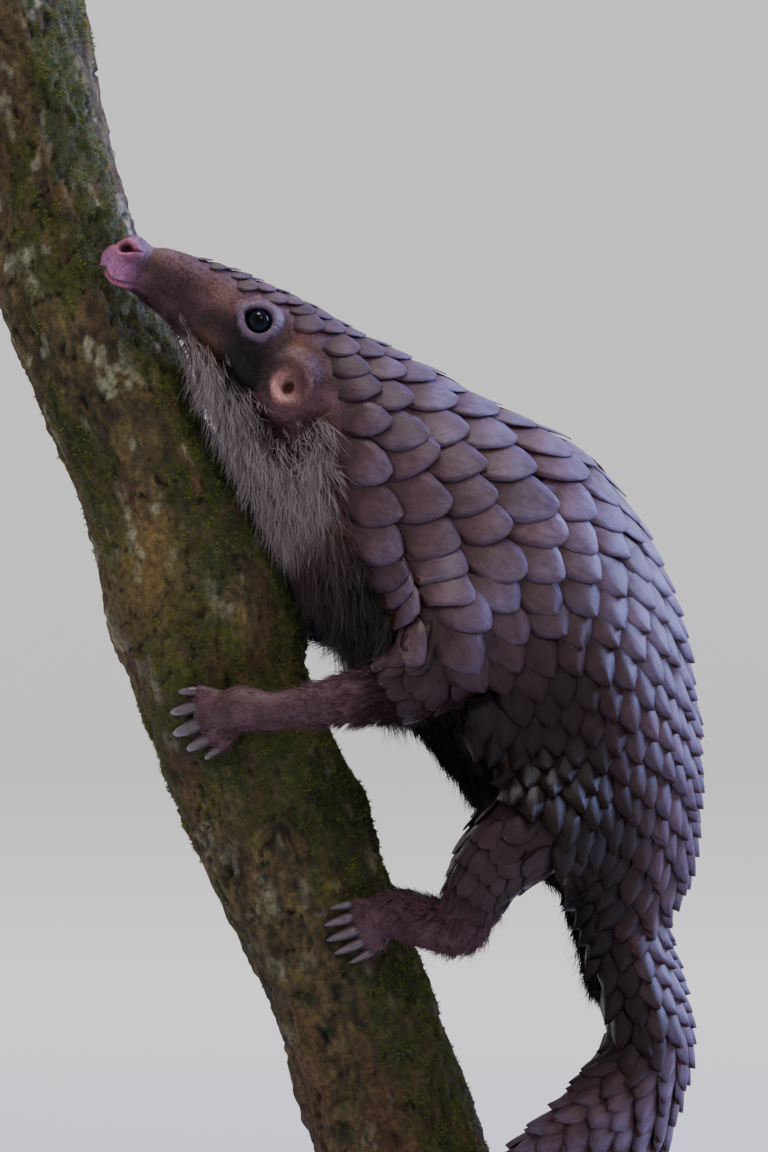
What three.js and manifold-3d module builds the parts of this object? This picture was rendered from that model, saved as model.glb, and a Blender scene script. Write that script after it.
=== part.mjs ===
// A tree pangolin climbing a leaning trunk, as a life-size museum model on a stand.
// Millimetres. +Z is up, the trunk leans towards -X, the animal's left side faces -Y, and the origin
// is the centre of the base's underside.
import * as THREE from "three";
import { mergeVertices } from "three/addons/utils/BufferGeometryUtils.js";
import Module from "manifold-3d";

const wasm = await Module();
wasm.setup();

// Driving dimensions
const GAP = 0.3; // clearance between pieces that touch
const BASE = { length: 300, width: 210, thickness: 18, corner: 26, bevel: 3 };
const ROD = { radius: 5, spacing: 26, under: 20 }; // under: the place along the trunk they stand below
const TRUNK_FOOT = 64; // height of the trunk's level sawn foot above the floor

// The trunk's centre line from below its foot to its sawn top: x, y, z and radius
const TRUNK_LINE = [
  [31, 0, 44, 28.5],
  [20, 0, 80, 28.5],
  [8, 0, 114, 28],
  [-4.5, 0, 149, 28],
  [-16.5, 0, 184, 28.5],
  [-28.7, 0, 219, 29],
  [-41.3, 0, 254, 28.5],
  [-56, 0, 289, 30],
  [-71.5, 0, 324, 31.5],
  [-78, 1.5, 352, 33],
  [-94.5, 7, 394, 28],
  [-110, 13, 430, 27],
  [-123, 18, 464, 26.5],
  [-133, 22, 499, 26],
  [-141, 25, 534, 26],
  [-150, 28, 568, 26],
];

// The body's centre line from the nose to the tail root: x, y, z, then half its width, its height
// above the line towards the back and its depth below the line towards the belly
const BODY_LINE = [
  [-112, -11.6, 478, 3.4, 5.4, 3.6],
  [-109.2, -11.2, 476.8, 6.4, 9.6, 6.8],
  [-105.2, -10.7, 475.3, 7.6, 11.2, 8],
  [-100.8, -9.9, 473.4, 7.5, 10.8, 8.6],
  [-94.5, -8.8, 470.4, 8.2, 12.6, 10.2],
  [-85.8, -7.5, 465.2, 9.8, 15, 11.8],
  [-75.3, -6.2, 457.5, 12.6, 18.9, 15.8],
  [-64.8, -5, 449.1, 15.8, 22, 21.5],
  [-54.3, -3.8, 440.7, 18.8, 25.2, 28.5],
  [-43.8, -2.6, 431.2, 22.3, 28, 35.5],
  [-29.8, -1.2, 418.3, 27.5, 33.4, 41.5],
  [-12.3, 0, 400.8, 34.5, 41, 47],
  [7, 0, 378, 42, 55, 51],
  [24.5, 0, 355.3, 46.5, 56.4, 52.5],
  [38.5, 0, 332.5, 48, 51.1, 49],
  [49, 0, 308, 47, 42.6, 42],
  [56.7, 0, 285.3, 42, 35.7, 33.6],
  [62, 0, 264.3, 34.5, 26.6, 23.5],
  [63.7, 0, 243.3, 27, 16.5, 14.5],
];

// The tail leaves the body and winds round the trunk. Its first points: distance up the trunk, angle
// round it and distance out from its centre line, then half width, height and depth
const TAIL_LEAD = [
  [140, -1, 93, 25, 14.5, 12.5],
  [121, -5, 82, 24, 13.5, 11.5],
  [105, -18, 64, 23, 12.8, 10.5],
  [95, -42, 50.5, 22, 12.3, 10],
];
const TAIL_WIND = { from: 89, angle: -70, turns: 15, turn: -28, fall: 3.2 };
const TAIL_HALF = { width: 21, height: 12, depth: 9.5 }; // where the winding begins
const TAIL_TIP = { width: 3, height: 2.2, depth: 1.8 };
const TAIL_TAPER = 0.85;
const TAIL_CLEAR = 2.2; // room between the tail's underside and the bark

// Where the animal is parted, in millimetres along its centre line from the nose
const CUTS = { head: 92, neck: 134, torso: 306 };
const TAIL_CUTS = [0.24, 0.48, 0.73]; // shares of the tail's length

// Places on the head: distance from the nose and angle in degrees down from the middle of the back
const EYE = { along: 54.7, angle: 67, radius: 4.9, sunk: 2.2, lid: 1.5, lidRing: 5.8, lidProud: 0.2 };
const EAR = {
  along: 77,
  angle: 95,
  length: 12, // half lengths of its mound along and across the head
  width: 10,
  proud: 3.2,
  root: 1,
  rim: { radius: 3.4, thickness: 1.1, sunk: 0.4 },
  cup: { length: 2.3, width: 2.9, deep: 5.6 },
};
const NOSTRIL = { along: 3.6, angle: 58, radius: 1.6, deep: 4 };
const MOUTH = { from: 3, to: 24, angle: 152, endAngle: 108, radius: 0.9, endRadius: 0.4, out: 0.35 };

// Scutes on the body: distance along it, distance from row to row, distance from one to the next
// across a row, and the angle in degrees down from the back where they end
const SCUTE_ROWS = [
  [37, 8, 11, 30],
  [56, 8.8, 11.6, 42],
  [68, 10, 13.6, 52],
  [80, 11.4, 16, 60],
  [92, 13.2, 19, 84],
  [110, 16.5, 23.5, 112],
  [134, 19.5, 28, 122],
  [175, 22, 31.5, 120],
  [280, 22, 30, 118],
  [306, 22, 25, 98],
  [345, 24, 26, 92],
  [375, 24, 25, 76],
  [420, 24, 24, 76],
  [560, 21, 19, 76],
  [680, 17, 13, 76],
  [738, 12, 9, 76],
];
const SCUTE = {
  overlap: 1.55, // length over the distance from row to row
  sink: 1, // how deep the root lies in the flesh
  lift: 0.6, // room between one layer and the next
  ridge: 0.05, // thickness at the middle, as a share of the width
  least: 0.75, // the least thickness at the middle
  rim: 0.6, // thickness at the rim, as a share of the middle's
  thinRim: 0.55, // the least thickness at the rim
  between: 0.5, // room between one scute and the next in its row
  jitter: 0.04,
  reach: 45, // the furthest that one scute's tip lies from another's root that it can meet
  kept: 0.45, // the least share of a scute that is kept where its neighbours cut it
};
// A scute's outline from its tip round to its root and back: share of the width, share of the length
const SCUTE_OUTLINE = [
  [0, 1],
  [-0.46, 0.64],
  [-0.26, 0],
  [0.26, 0],
  [0.46, 0.64],
];
const LEG_SCUTES = {
  foreleg: { from: 9, to: 47, pitch: 13, spacing: 16.5, angle: 58 },
  hindleg: { from: 9, to: 47, pitch: 13.5, spacing: 18, angle: 58 },
};
const MOST_ROUND = 200; // the furthest that a row runs round from the middle of the back
const SEED = 7;

// The left legs: x, y, z and radius at each joint, from inside the body to the wrist or ankle
const FORELEG_LEFT = [
  [8.8, -24, 367.5, 22],
  [7, -41, 350, 21],
  [-1.8, -46, 333.6, 17.5],
  [-18, -46.5, 327, 12.5],
  [-36.8, -44.5, 323.5, 9.6],
  [-54.3, -42, 320.5, 7.8],
];
const FORELEG_RIGHT = [
  [2, 24, 374, 22],
  [-12, 37, 362, 20],
  [-29, 44, 354, 16.5],
  [-42, 45, 361, 13.5],
  [-52, 42.5, 371, 11],
  [-61, 39.5, 380.5, 8.5],
];
const HINDLEG = [
  [50.8, 26, 292.3, 25],
  [38, 42, 281, 22],
  [23.5, 48.5, 270.5, 16.5],
  [16, 46, 256, 12],
  [9.5, 41.5, 244, 9],
];

const LEG_FLAT = { side: 0.92, back: 0.86 }; // a leg's halves as shares of its radius

// Feet on the bark: distance up the trunk and angle round it at the sole's middle and claw tips
const FOREFOOT_LEFT = { up: 293.5, heel: -84, knuckle: -98, tip: -124, side: -1 };
const FOREFOOT_RIGHT = { up: 366, heel: 80, knuckle: 97, tip: 124, side: 1 };
const HINDFOOT_LEFT = { up: 208, heel: -46, knuckle: -62, tip: -88, side: -1 };
const HINDFOOT_RIGHT = { up: 208, heel: 46, knuckle: 62, tip: 88, side: 1 };
const FORE_DIGITS = [
  { offset: -9.8, reach: 0.62, radius: 2.5 },
  { offset: -5.2, reach: 0.94, radius: 3.6 },
  { offset: 0.2, reach: 1.1, radius: 4.2 },
  { offset: 5.6, reach: 0.96, radius: 3.6 },
  { offset: 10.2, reach: 0.62, radius: 2.5 },
];
const HIND_DIGITS = [
  { offset: -9.2, reach: 0.68, radius: 2.5 },
  { offset: -4.8, reach: 0.94, radius: 3.2 },
  { offset: 0, reach: 1, radius: 3.5 },
  { offset: 4.8, reach: 0.94, radius: 3.2 },
  { offset: 9.2, reach: 0.66, radius: 2.5 },
];

// Stops along a digit from the palm to the claw's tip: fifths of the way from knuckle to tip, spread
// from its neighbours, height above the bark, and thickness as a share of the digit's radius
const DIGIT_STOPS = [
  [-2.4, 0.5, 4.6, 1.15],
  [0, 0.8, 4.6, 1.1],
  [1.7, 0.96, 3.8, 0.88],
  [3.6, 1.04, 3.9, 0.64],
  [5.2, 1.08, 0.6, 0.12],
];
const PALM_RADII = [7.6, 8.6, 6.4]; // at the ankle, the heel and the knuckles
const PALM_RISE = { heel: 8, knuckle: 5 }; // height of the palm's middle above the bark

// A repeatable run of numbers from -1 to 1, used to vary like pieces.
let seedState = SEED;
function vary() {
  seedState = (seedState * 1664525 + 1013904223) % 4294967296;
  return (seedState / 4294967296) * 2 - 1;
}

// A table's later columns at a place in its first column, read along straight lines.
function reading(table, place) {
  const last = table.length - 1;
  const after = Math.min(Math.max(table.findIndex(([at]) => at > place), 0) || last, last);
  const [a, b] = [table[after - 1], table[after]];
  const part = THREE.MathUtils.clamp((place - a[0]) / (b[0] - a[0]), 0, 1);
  return a.slice(1).map((value, i) => THREE.MathUtils.lerp(value, b[i + 1], part));
}

function vector(x, y, z) {
  return new THREE.Vector3(x, y, z);
}

function radians(degrees) {
  return THREE.MathUtils.degToRad(degrees);
}

// A closed three.js geometry as a solid.
function solid(geometry) {
  const bare = geometry.clone();
  bare.deleteAttribute("normal");
  bare.deleteAttribute("uv");
  const merged = mergeVertices(bare, 1e-3);
  return new wasm.Manifold(
    new wasm.Mesh({
      numProp: 3,
      vertProperties: new Float32Array(merged.attributes.position.array),
      triVerts: new Uint32Array(merged.index.array),
    }),
  );
}

// A geometry with each of its points moved by a function of the point.
function moved(geometry, change) {
  const places = geometry.getAttribute("position");
  const point = vector(0, 0, 0);
  for (let i = 0; i < places.count; i++) {
    const { x, y, z } = change(point.fromBufferAttribute(places, i));
    places.setXYZ(i, x, y, z);
  }
  return geometry;
}

// A ball stretched along three directions and set at a place.
function blob(centre, alongX, alongY, alongZ, across = 12, up = 8) {
  const basis = new THREE.Matrix4().makeBasis(alongX, alongY, alongZ).setPosition(centre);
  return solid(new THREE.SphereGeometry(1, across, up).applyMatrix4(basis));
}

// A rounded form along a bent centre line, with its own half width, height and depth at each place.
// Distances along it are in millimetres from its start. Angles are in radians from the middle of its
// back, positive towards the side that (its direction x its back) points to.
class Form {
  constructor(stations, backs, relief = () => 0) {
    const curve = (points) => new THREE.CatmullRomCurve3(points, false, "catmullrom", 0.5);
    this.line = curve(stations.map(([x, y, z]) => vector(x, y, z)));
    this.halves = curve(stations.map(([, , , side, back, belly]) => vector(side, back, belly)));
    this.backs = curve(backs);
    this.relief = relief;
    this.steps = stations.length * 20;
    this.reached = [0];
    let last = this.line.getPoint(0);
    for (let i = 1; i <= this.steps; i++) {
      const point = this.line.getPoint(i / this.steps);
      this.reached.push(this.reached[i - 1] + point.distanceTo(last));
      last = point;
    }
    this.length = this.reached[this.steps];
  }

  // The share of the curve that lies before a distance.
  share(distance) {
    const wanted = Math.min(Math.max(distance, 0), this.length);
    let low = 0;
    let high = this.steps;
    while (high - low > 1) {
      const middle = (low + high) >> 1;
      if (this.reached[middle] <= wanted) low = middle;
      else high = middle;
    }
    const part = (wanted - this.reached[low]) / (this.reached[high] - this.reached[low]);
    return (low + part) / this.steps;
  }

  frame(distance) {
    const share = this.share(distance);
    const tangent = this.line.getTangent(share);
    const back = this.backs.getPoint(share);
    back.addScaledVector(tangent, -back.dot(tangent)).normalize();
    const side = vector(0, 0, 0).crossVectors(tangent, back);
    return {
      centre: this.line.getPoint(share),
      tangent,
      back,
      side,
      halves: this.halves.getPoint(share),
    };
  }

  surface(distance, angle) {
    const { centre, back, side, halves } = this.frame(distance);
    const rise = Math.cos(angle) > 0 ? halves.y : halves.z;
    const swell = this.relief(distance, angle);
    return centre
      .addScaledVector(side, (halves.x + swell) * Math.sin(angle))
      .addScaledVector(back, (rise + swell) * Math.cos(angle));
  }

  normal(distance, angle) {
    const along = this.surface(distance + 0.5, angle).sub(this.surface(distance - 0.5, angle));
    const round = this.surface(distance, angle + 0.02).sub(this.surface(distance, angle - 0.02));
    return round.cross(along).normalize();
  }

  point(distance, angle, height) {
    return this.surface(distance, angle).addScaledVector(this.normal(distance, angle), height);
  }

  // How far the surface runs for one radian round it, and for one millimetre along it.
  rates(distance, angle) {
    const round = this.surface(distance, angle + 0.02).distanceTo(
      this.surface(distance, angle - 0.02),
    );
    const along = this.surface(distance + 0.5, angle).distanceTo(
      this.surface(distance - 0.5, angle),
    );
    return { round: round / 0.04, along };
  }

  // The angle a given distance further round the surface from another.
  turned(distance, angle, across) {
    const steps = Math.ceil(Math.abs(across) / 4);
    let turned = angle;
    for (let i = 0; i < steps; i++) {
      turned += across / steps / this.rates(distance, turned).round;
    }
    return turned;
  }

  // The flesh from one distance to another as a solid, grown by a clearance if one is given.
  flesh(from, to, sides, rings, grow = 0) {
    const drum = new THREE.CylinderGeometry(1, 1, 1, sides, rings);
    return solid(
      moved(drum, ({ x, y, z }) => {
        const distance = from + (0.5 - y) * (to - from);
        const angle = -Math.atan2(x, z);
        const { centre } = this.frame(distance);
        return centre.lerp(this.point(distance, angle, grow), Math.min(Math.hypot(x, z), 1));
      }),
    );
  }
}

// The back direction at each station of a line that bends only in the upright plane.
function uprightBacks(stations) {
  return stations.map((_, i) => {
    const [x0, , z0] = stations[Math.max(i - 1, 0)];
    const [x1, , z1] = stations[Math.min(i + 1, stations.length - 1)];
    return vector(z0 - z1, 0, x1 - x0).normalize();
  });
}

// The same direction at each station.
function sameBacks(stations, x, y, z) {
  return stations.map(() => vector(x, y, z));
}

// Low swellings of the bark, in millimetres.
function barkRelief(distance, angle) {
  return (
    0.9 * Math.sin(distance / 17 + 2 * angle) +
    0.7 * Math.sin(distance / 9.5 - 3 * angle + 1) +
    0.5 * Math.cos(distance / 31 + 5 * angle)
  );
}

const trunkStations = TRUNK_LINE.map(([x, y, z, r]) => [x, y, z, r, r, r]);
const trunk = new Form(trunkStations, sameBacks(trunkStations, 1, 0, 0.34), barkRelief);

// A point beside the trunk: distance up it, degrees round it from its upper side, and distance out
// from its centre line.
function besideTrunk(up, degrees, out) {
  const { centre, back, side } = trunk.frame(up);
  const angle = radians(degrees);
  return centre
    .addScaledVector(back, out * Math.cos(angle))
    .addScaledVector(side, out * Math.sin(angle));
}

function awayFromTrunk(up, degrees) {
  return besideTrunk(up, degrees, 1).sub(trunk.frame(up).centre);
}

// The tail's stations and back directions, wound round the trunk down to its tip.
function tailPath() {
  const stations = [];
  const backs = [];
  const add = (up, degrees, out, half) => {
    stations.push([...besideTrunk(up, degrees, out).toArray(), ...half]);
    backs.push(awayFromTrunk(up, degrees));
  };
  for (const [up, degrees, out, ...half] of TAIL_LEAD) add(up, degrees, out, half);
  for (let i = 0; i <= TAIL_WIND.turns; i++) {
    const left = (1 - i / TAIL_WIND.turns) ** TAIL_TAPER;
    const mix = (key) => TAIL_TIP[key] + (TAIL_HALF[key] - TAIL_TIP[key]) * left;
    const up = TAIL_WIND.from - TAIL_WIND.fall * i;
    const out = trunk.frame(up).halves.x + mix("depth") + TAIL_CLEAR;
    const half = [mix("width"), mix("height"), mix("depth")];
    add(up, TAIL_WIND.angle + TAIL_WIND.turn * i, out, half);
  }
  return { stations, backs };
}

const tail = tailPath();
const bodyStations = [...BODY_LINE, ...tail.stations];
const body = new Form(bodyStations, [...uprightBacks(BODY_LINE), ...tail.backs]);

function legForm(joints, mirror = 1) {
  const flat = ({ side, back }, r) => [r * side, r * back, r * back];
  const stations = joints.map(([x, y, z, r]) => [x, y * mirror, z, ...flat(LEG_FLAT, r)]);
  const outward = Math.sign(stations[1][1]);
  return new Form(stations, sameBacks(stations, 0, outward, 0));
}

const LEG_FACETS = [10, 6]; // round a leg and along it
const legs = {
  foreleg_left: legForm(FORELEG_LEFT),
  foreleg_right: legForm(FORELEG_RIGHT),
  hindleg_left: legForm(HINDLEG, -1),
  hindleg_right: legForm(HINDLEG),
};

// Keeps only the largest closed surface of a solid.
function largest(body) {
  const pieces = body.decompose();
  return pieces.reduce((best, piece) => (piece.volume() > best.volume() ? piece : best));
}

function joined(solids) {
  return wasm.Manifold.union(solids);
}

// A round tapering form through points, closed at both ends.
function taper(points, radii, outward, sides, rings) {
  const stations = points.map((p, i) => [...p.toArray(), radii[i], radii[i], radii[i]]);
  const form = new Form(stations, sameBacks(stations, ...outward.toArray()));
  return form.flesh(0, form.length, sides, rings);
}

// A foot pressed to the bark, with its digits and claws curving round the trunk.
function foot(spec, leg, digits) {
  const outward = awayFromTrunk(spec.up, spec.knuckle);
  const rim = (up) => trunk.frame(up).halves.x;
  const wrist = leg.line.getPoint(1);
  const ankle = leg.frame(leg.length).tangent.multiplyScalar(GAP).add(wrist);
  const heel = besideTrunk(spec.up, spec.heel, rim(spec.up) + PALM_RISE.heel);
  const knuckle = besideTrunk(spec.up, spec.knuckle, rim(spec.up) + PALM_RISE.knuckle);
  const palm = taper([ankle, heel, knuckle], PALM_RADII, outward, 8, 3);
  const toward = (spec.tip - spec.knuckle) / 5;
  const parts = [palm];
  for (const { offset, reach, radius } of digits) {
    const line = DIGIT_STOPS.map(([steps, spread, out]) => {
      const up = spec.up + offset * spread;
      return besideTrunk(up, spec.knuckle + toward * steps * reach, rim(up) + out);
    });
    const thick = DIGIT_STOPS.map(([, , , share]) => share * radius);
    parts.push(taper(line, thick, outward, 5, 5));
  }
  return joined(parts);
}

// The frame on the head's surface at a place: out, along and round.
function onHead({ along, angle }, side) {
  const turn = radians(angle) * side;
  const out = body.normal(along, turn);
  const { tangent } = body.frame(along);
  const ahead = tangent.clone().addScaledVector(out, -tangent.dot(out)).normalize();
  return { place: body.surface(along, turn), out, ahead, round: out.clone().cross(ahead) };
}

// One scute on a form: a plate whose root is sunk in the flesh and whose tip stands clear of the
// next row's roots.
function scute(form, { along, angle, pitch, width }, grow = 0) {
  const corners = SCUTE_OUTLINE.length;
  const length = pitch * SCUTE.overlap;
  const ridge = Math.max(SCUTE.ridge * width, SCUTE.least);
  const rim = Math.max(ridge * SCUTE.rim, SCUTE.thinRim);
  const slope = (ridge + SCUTE.lift) / pitch;
  const plate = new THREE.CylinderGeometry(1, 1, 1, corners, 1);
  const shaped = moved(plate, ({ x, y, z }) => {
    const corner = Math.round((Math.atan2(x, z) / (2 * Math.PI)) * corners + corners) % corners;
    const middle = Math.hypot(x, z) < 0.5;
    const [across, forward] = middle ? [0, 0.5] : SCUTE_OUTLINE[corner];
    const run = length * forward + grow * Math.sign(forward - 0.5);
    const over = (width + 2 * grow) * across;
    const under = slope * length * forward - SCUTE.sink;
    const thick = middle ? ridge : rim;
    const height = y > 0 ? under + thick + grow : under - grow;
    const distance = along + run / form.rates(along, angle).along;
    return form.point(distance, form.turned(distance, angle, over), height);
  });
  return solid(shaped);
}

// The places of the scutes in rows along a form, each row set half a step over from the last.
function scutePlaces(form, from, to, sizesAt) {
  const places = [];
  let row = 0;
  for (let along = from; along < to; row++) {
    const [pitch, spacing, limit] = sizesAt(along);
    const edge = radians(limit);
    const offset = (row % 2) / 2;
    const count = Math.ceil(MOST_ROUND / spacing);
    for (let k = -count; k <= count; k++) {
      const angle = form.turned(along, 0, (k + offset) * spacing);
      if (Math.abs(angle) > edge) continue;
      const loose = 1 + SCUTE.jitter * vary();
      places.push({
        along: along + SCUTE.jitter * pitch * vary(),
        angle,
        pitch,
        width: (spacing - SCUTE.between) * Math.min(loose, 1),
      });
    }
    along += pitch;
  }
  return places;
}

// The ear's low round mound. It sits in a socket of the head.
function earMound(side, grow = 0) {
  const { place, out, ahead, round } = onHead(EAR, side);
  return blob(
    place.addScaledVector(out, -EAR.root),
    ahead.multiplyScalar(EAR.length + grow),
    round.multiplyScalar(EAR.width + grow),
    out.multiplyScalar(EAR.proud + EAR.root + grow),
    12,
    6,
  );
}

function ear(side) {
  const { place, out, ahead, round } = onHead(EAR, side);
  const rim = new THREE.TorusGeometry(EAR.rim.radius, EAR.rim.thickness, 4, 10);
  const basis = new THREE.Matrix4().makeBasis(ahead, round, out);
  basis.setPosition(place.clone().addScaledVector(out, EAR.proud - EAR.rim.sunk));
  const hole = blob(
    place.clone().addScaledVector(out, EAR.proud),
    ahead.clone().multiplyScalar(EAR.cup.length),
    round.clone().multiplyScalar(EAR.cup.width),
    out.clone().multiplyScalar(EAR.cup.deep),
    8,
    6,
  );
  return earMound(side).add(solid(rim.applyMatrix4(basis))).subtract(hole);
}

function eyeBall(side, grow = 0) {
  const { place, out } = onHead(EYE, side);
  const r = EYE.radius + grow;
  return blob(
    place.addScaledVector(out, -EYE.sunk),
    vector(r, 0, 0),
    vector(0, r, 0),
    vector(0, 0, r),
    10,
    6,
  );
}

function eyelid(side) {
  const { place, out, ahead, round } = onHead(EYE, side);
  const ring = new THREE.TorusGeometry(EYE.lidRing, EYE.lid, 4, 12);
  const basis = new THREE.Matrix4().makeBasis(ahead, round, out);
  return solid(ring.applyMatrix4(basis.setPosition(place.addScaledVector(out, EYE.lidProud))));
}

function nostril(side) {
  const turn = radians(NOSTRIL.angle) * side;
  const { place, out, ahead } = onHead(NOSTRIL, side);
  const inward = ahead.clone().sub(out).normalize().multiplyScalar(NOSTRIL.deep);
  const across = body.frame(NOSTRIL.along).side.multiplyScalar(NOSTRIL.radius * Math.sign(turn));
  const third = inward.clone().normalize().cross(across);
  return blob(place, inward, across, third.multiplyScalar(side), 6, 4);
}

// The line of the mouth on one side, as a thin groove from under the nose back along the jaw.
function mouthLine(side) {
  const points = [];
  const steps = 5;
  for (let i = 0; i <= steps; i++) {
    const along = MOUTH.from + ((MOUTH.to - MOUTH.from) * i) / steps;
    const turn = radians(THREE.MathUtils.lerp(MOUTH.angle, MOUTH.endAngle, i / steps)) * side;
    points.push(body.point(along, turn, MOUTH.out));
  }
  const radii = points.map((_, i) => (i === steps ? MOUTH.endRadius : MOUTH.radius));
  return taper(points, radii, body.frame(MOUTH.from).back, 4, 5);
}

// The stand's base: a board with rounded corners and softened edges.
function basePlate() {
  const x = BASE.length / 2 - BASE.bevel;
  const y = BASE.width / 2 - BASE.bevel;
  const r = BASE.corner;
  const outline = new THREE.Shape();
  outline.moveTo(-x + r, -y);
  outline.lineTo(x - r, -y);
  outline.absarc(x - r, -y + r, r, -Math.PI / 2, 0);
  outline.lineTo(x, y - r);
  outline.absarc(x - r, y - r, r, 0, Math.PI / 2);
  outline.lineTo(-x + r, y);
  outline.absarc(-x + r, y - r, r, Math.PI / 2, Math.PI);
  outline.lineTo(-x, -y + r);
  outline.absarc(-x + r, -y + r, r, Math.PI, 1.5 * Math.PI);
  const board = new THREE.ExtrudeGeometry(outline, {
    depth: BASE.thickness - 2 * BASE.bevel,
    bevelThickness: BASE.bevel,
    bevelSize: BASE.bevel,
    bevelSegments: 1,
    curveSegments: 3,
  });
  return board.translate(0, 0, BASE.bevel);
}

const TRUNK_FACETS = [14, 16]; // round it and along it
const trunkBlock = new THREE.BoxGeometry(300, 300, 200).translate(0, 0, TRUNK_FOOT - 100);
const trunkSolid = trunk.flesh(0, trunk.length, ...TRUNK_FACETS).subtract(solid(trunkBlock));
const trunkRoom = trunk.flesh(0, trunk.length, ...TRUNK_FACETS, GAP + 0.1);

const tailEdges = [0, ...TAIL_CUTS, 1].map((share) =>
  THREE.MathUtils.lerp(CUTS.torso, body.length, share),
);

// The lengths the body is parted into, with the facets round and along each
const LENGTHS = [
  { name: "head", from: 0, to: CUTS.head, sides: 16, rings: 15 },
  { name: "neck", from: CUTS.head, to: CUTS.neck, sides: 18, rings: 4 },
  { name: "torso", from: CUTS.neck, to: CUTS.torso, sides: 18, rings: 15 },
  { name: "tail_1", from: tailEdges[0], to: tailEdges[1], sides: 10, rings: 7 },
  { name: "tail_2", from: tailEdges[1], to: tailEdges[2], sides: 10, rings: 7 },
  { name: "tail_3", from: tailEdges[2], to: tailEdges[3], sides: 10, rings: 7 },
  { name: "tail_4", from: tailEdges[3], to: tailEdges[4], sides: 10, rings: 7 },
];

function fleshOf({ from, to, sides, rings }, grow = 0) {
  const start = from > 0 ? from + GAP / 2 - grow : 0;
  return body.flesh(start, to - GAP / 2 + grow, sides, rings, grow);
}

const rooms = LENGTHS.map((length) => fleshOf(length, GAP));
const torsoRoom = rooms[1].add(rooms[2]);

const solids = {};

solids.stand_base = solid(basePlate());
for (const [i, x] of [-ROD.spacing / 2, ROD.spacing / 2].entries()) {
  const length = TRUNK_FOOT - BASE.thickness - 2 * GAP;
  const rod = new THREE.CylinderGeometry(ROD.radius, ROD.radius, length, 12);
  rod.rotateX(Math.PI / 2);
  rod.translate(trunk.frame(ROD.under).centre.x + x, 0, BASE.thickness + GAP + length / 2);
  solids[`stand_rod_${i + 1}`] = solid(rod);
}
solids.perch_trunk = trunkSolid;

// Scutes of the whole body, each given to the length of the body that its root grows from.
const bodyScutes = scutePlaces(body, SCUTE_ROWS[0][0], body.length - 6, (along) =>
  reading(SCUTE_ROWS, along),
);

const legRoom = joined(
  Object.values(legs).map((leg) => leg.flesh(0, leg.length - GAP, ...LEG_FACETS, GAP)),
);

// A plate cut clear of the plates that lie near it, or null if little of it would be left.
function clearOf(plate, places, form, room) {
  let left = plate;
  for (const place of places) {
    const other = scute(form, place);
    if (left.minGap(other, 2 * GAP) < GAP) left = left.subtract(scute(form, place, GAP));
  }
  if (room) left = left.subtract(room);
  return left.volume() > SCUTE.kept * plate.volume() ? left : null;
}

// One length of the body with its scutes, clear of the scutes that reach over it from before.
function bodyLength(index) {
  const { from, to } = LENGTHS[index];
  const rooted = bodyScutes.filter(({ along }) => along >= from - 1 && along < to - 3);
  const earlier = bodyScutes.filter(({ along }) => along < from - 1 && along > from - SCUTE.reach);
  const others = rooms.filter((_, i) => i !== index);
  const room = joined([...others, legRoom, trunkRoom]);
  const plates = rooted.map((place) => {
    const near = earlier.filter((other) => other.along > place.along - SCUTE.reach);
    return clearOf(scute(body, place), near, body, room);
  });
  return joined([fleshOf(LENGTHS[index]), ...plates.filter(Boolean)]);
}

const sockets = joined([-1, 1].flatMap((side) => [eyeBall(side, GAP), earMound(side, GAP)]));
const cuts = joined([-1, 1].flatMap((side) => [nostril(side), mouthLine(side)]));
LENGTHS.forEach(({ name }, index) => {
  solids[name] = bodyLength(index);
});
solids.head = joined([solids.head, eyelid(1), eyelid(-1)]).subtract(sockets).subtract(cuts);
for (const [name, leg] of Object.entries(legs)) {
  const { from, to, pitch, spacing, angle } = LEG_SCUTES[name.split("_")[0]];
  const places = scutePlaces(leg, from, to, () => [pitch, spacing, angle]);
  const side = Math.sign(leg.frame(0).back.y);
  const near = bodyScutes.filter(
    ({ along, angle: turn }) => along > 90 && along < CUTS.torso && turn * side < -0.6,
  );
  const plates = places.map((place) => clearOf(scute(leg, place), near, body, torsoRoom));
  const flesh = leg.flesh(0, leg.length - GAP, ...LEG_FACETS).subtract(torsoRoom);
  solids[name] = joined([flesh, ...plates.filter(Boolean)]).subtract(trunkRoom);
}
const feet = [
  ["forefoot_left", FOREFOOT_LEFT, "foreleg_left", FORE_DIGITS],
  ["forefoot_right", FOREFOOT_RIGHT, "foreleg_right", FORE_DIGITS],
  ["hindfoot_left", HINDFOOT_LEFT, "hindleg_left", HIND_DIGITS],
  ["hindfoot_right", HINDFOOT_RIGHT, "hindleg_right", HIND_DIGITS],
];
for (const [name, spec, legName, digits] of feet) {
  const leg = legs[legName];
  const room = leg.flesh(0, leg.length, ...LEG_FACETS, GAP);
  solids[name] = foot(spec, leg, digits).subtract(trunkRoom).subtract(room);
}
for (const [name, side] of [["left", 1], ["right", -1]]) {
  solids[`ear_${name}`] = ear(side);
  solids[`eye_${name}`] = eyeBall(side);
}

const LOOKS = {
  stand_base: [0x6f4a30, 0.45, 0],
  stand_rod: [0xa9adb0, 0.35, 1],
  perch: [0x6a5f46, 0.95, 0],
  head: [0x6b5257, 0.7, 0],
  neck: [0x66586a, 0.55, 0],
  torso: [0x66586a, 0.55, 0],
  tail: [0x66586a, 0.55, 0],
  foreleg: [0x5a4148, 0.7, 0],
  hindleg: [0x5a4148, 0.7, 0],
  forefoot: [0x7b6772, 0.6, 0],
  hindfoot: [0x7b6772, 0.6, 0],
  ear: [0x9a6c62, 0.7, 0],
  eye: [0x0e1016, 0.08, 0],
};

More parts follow.
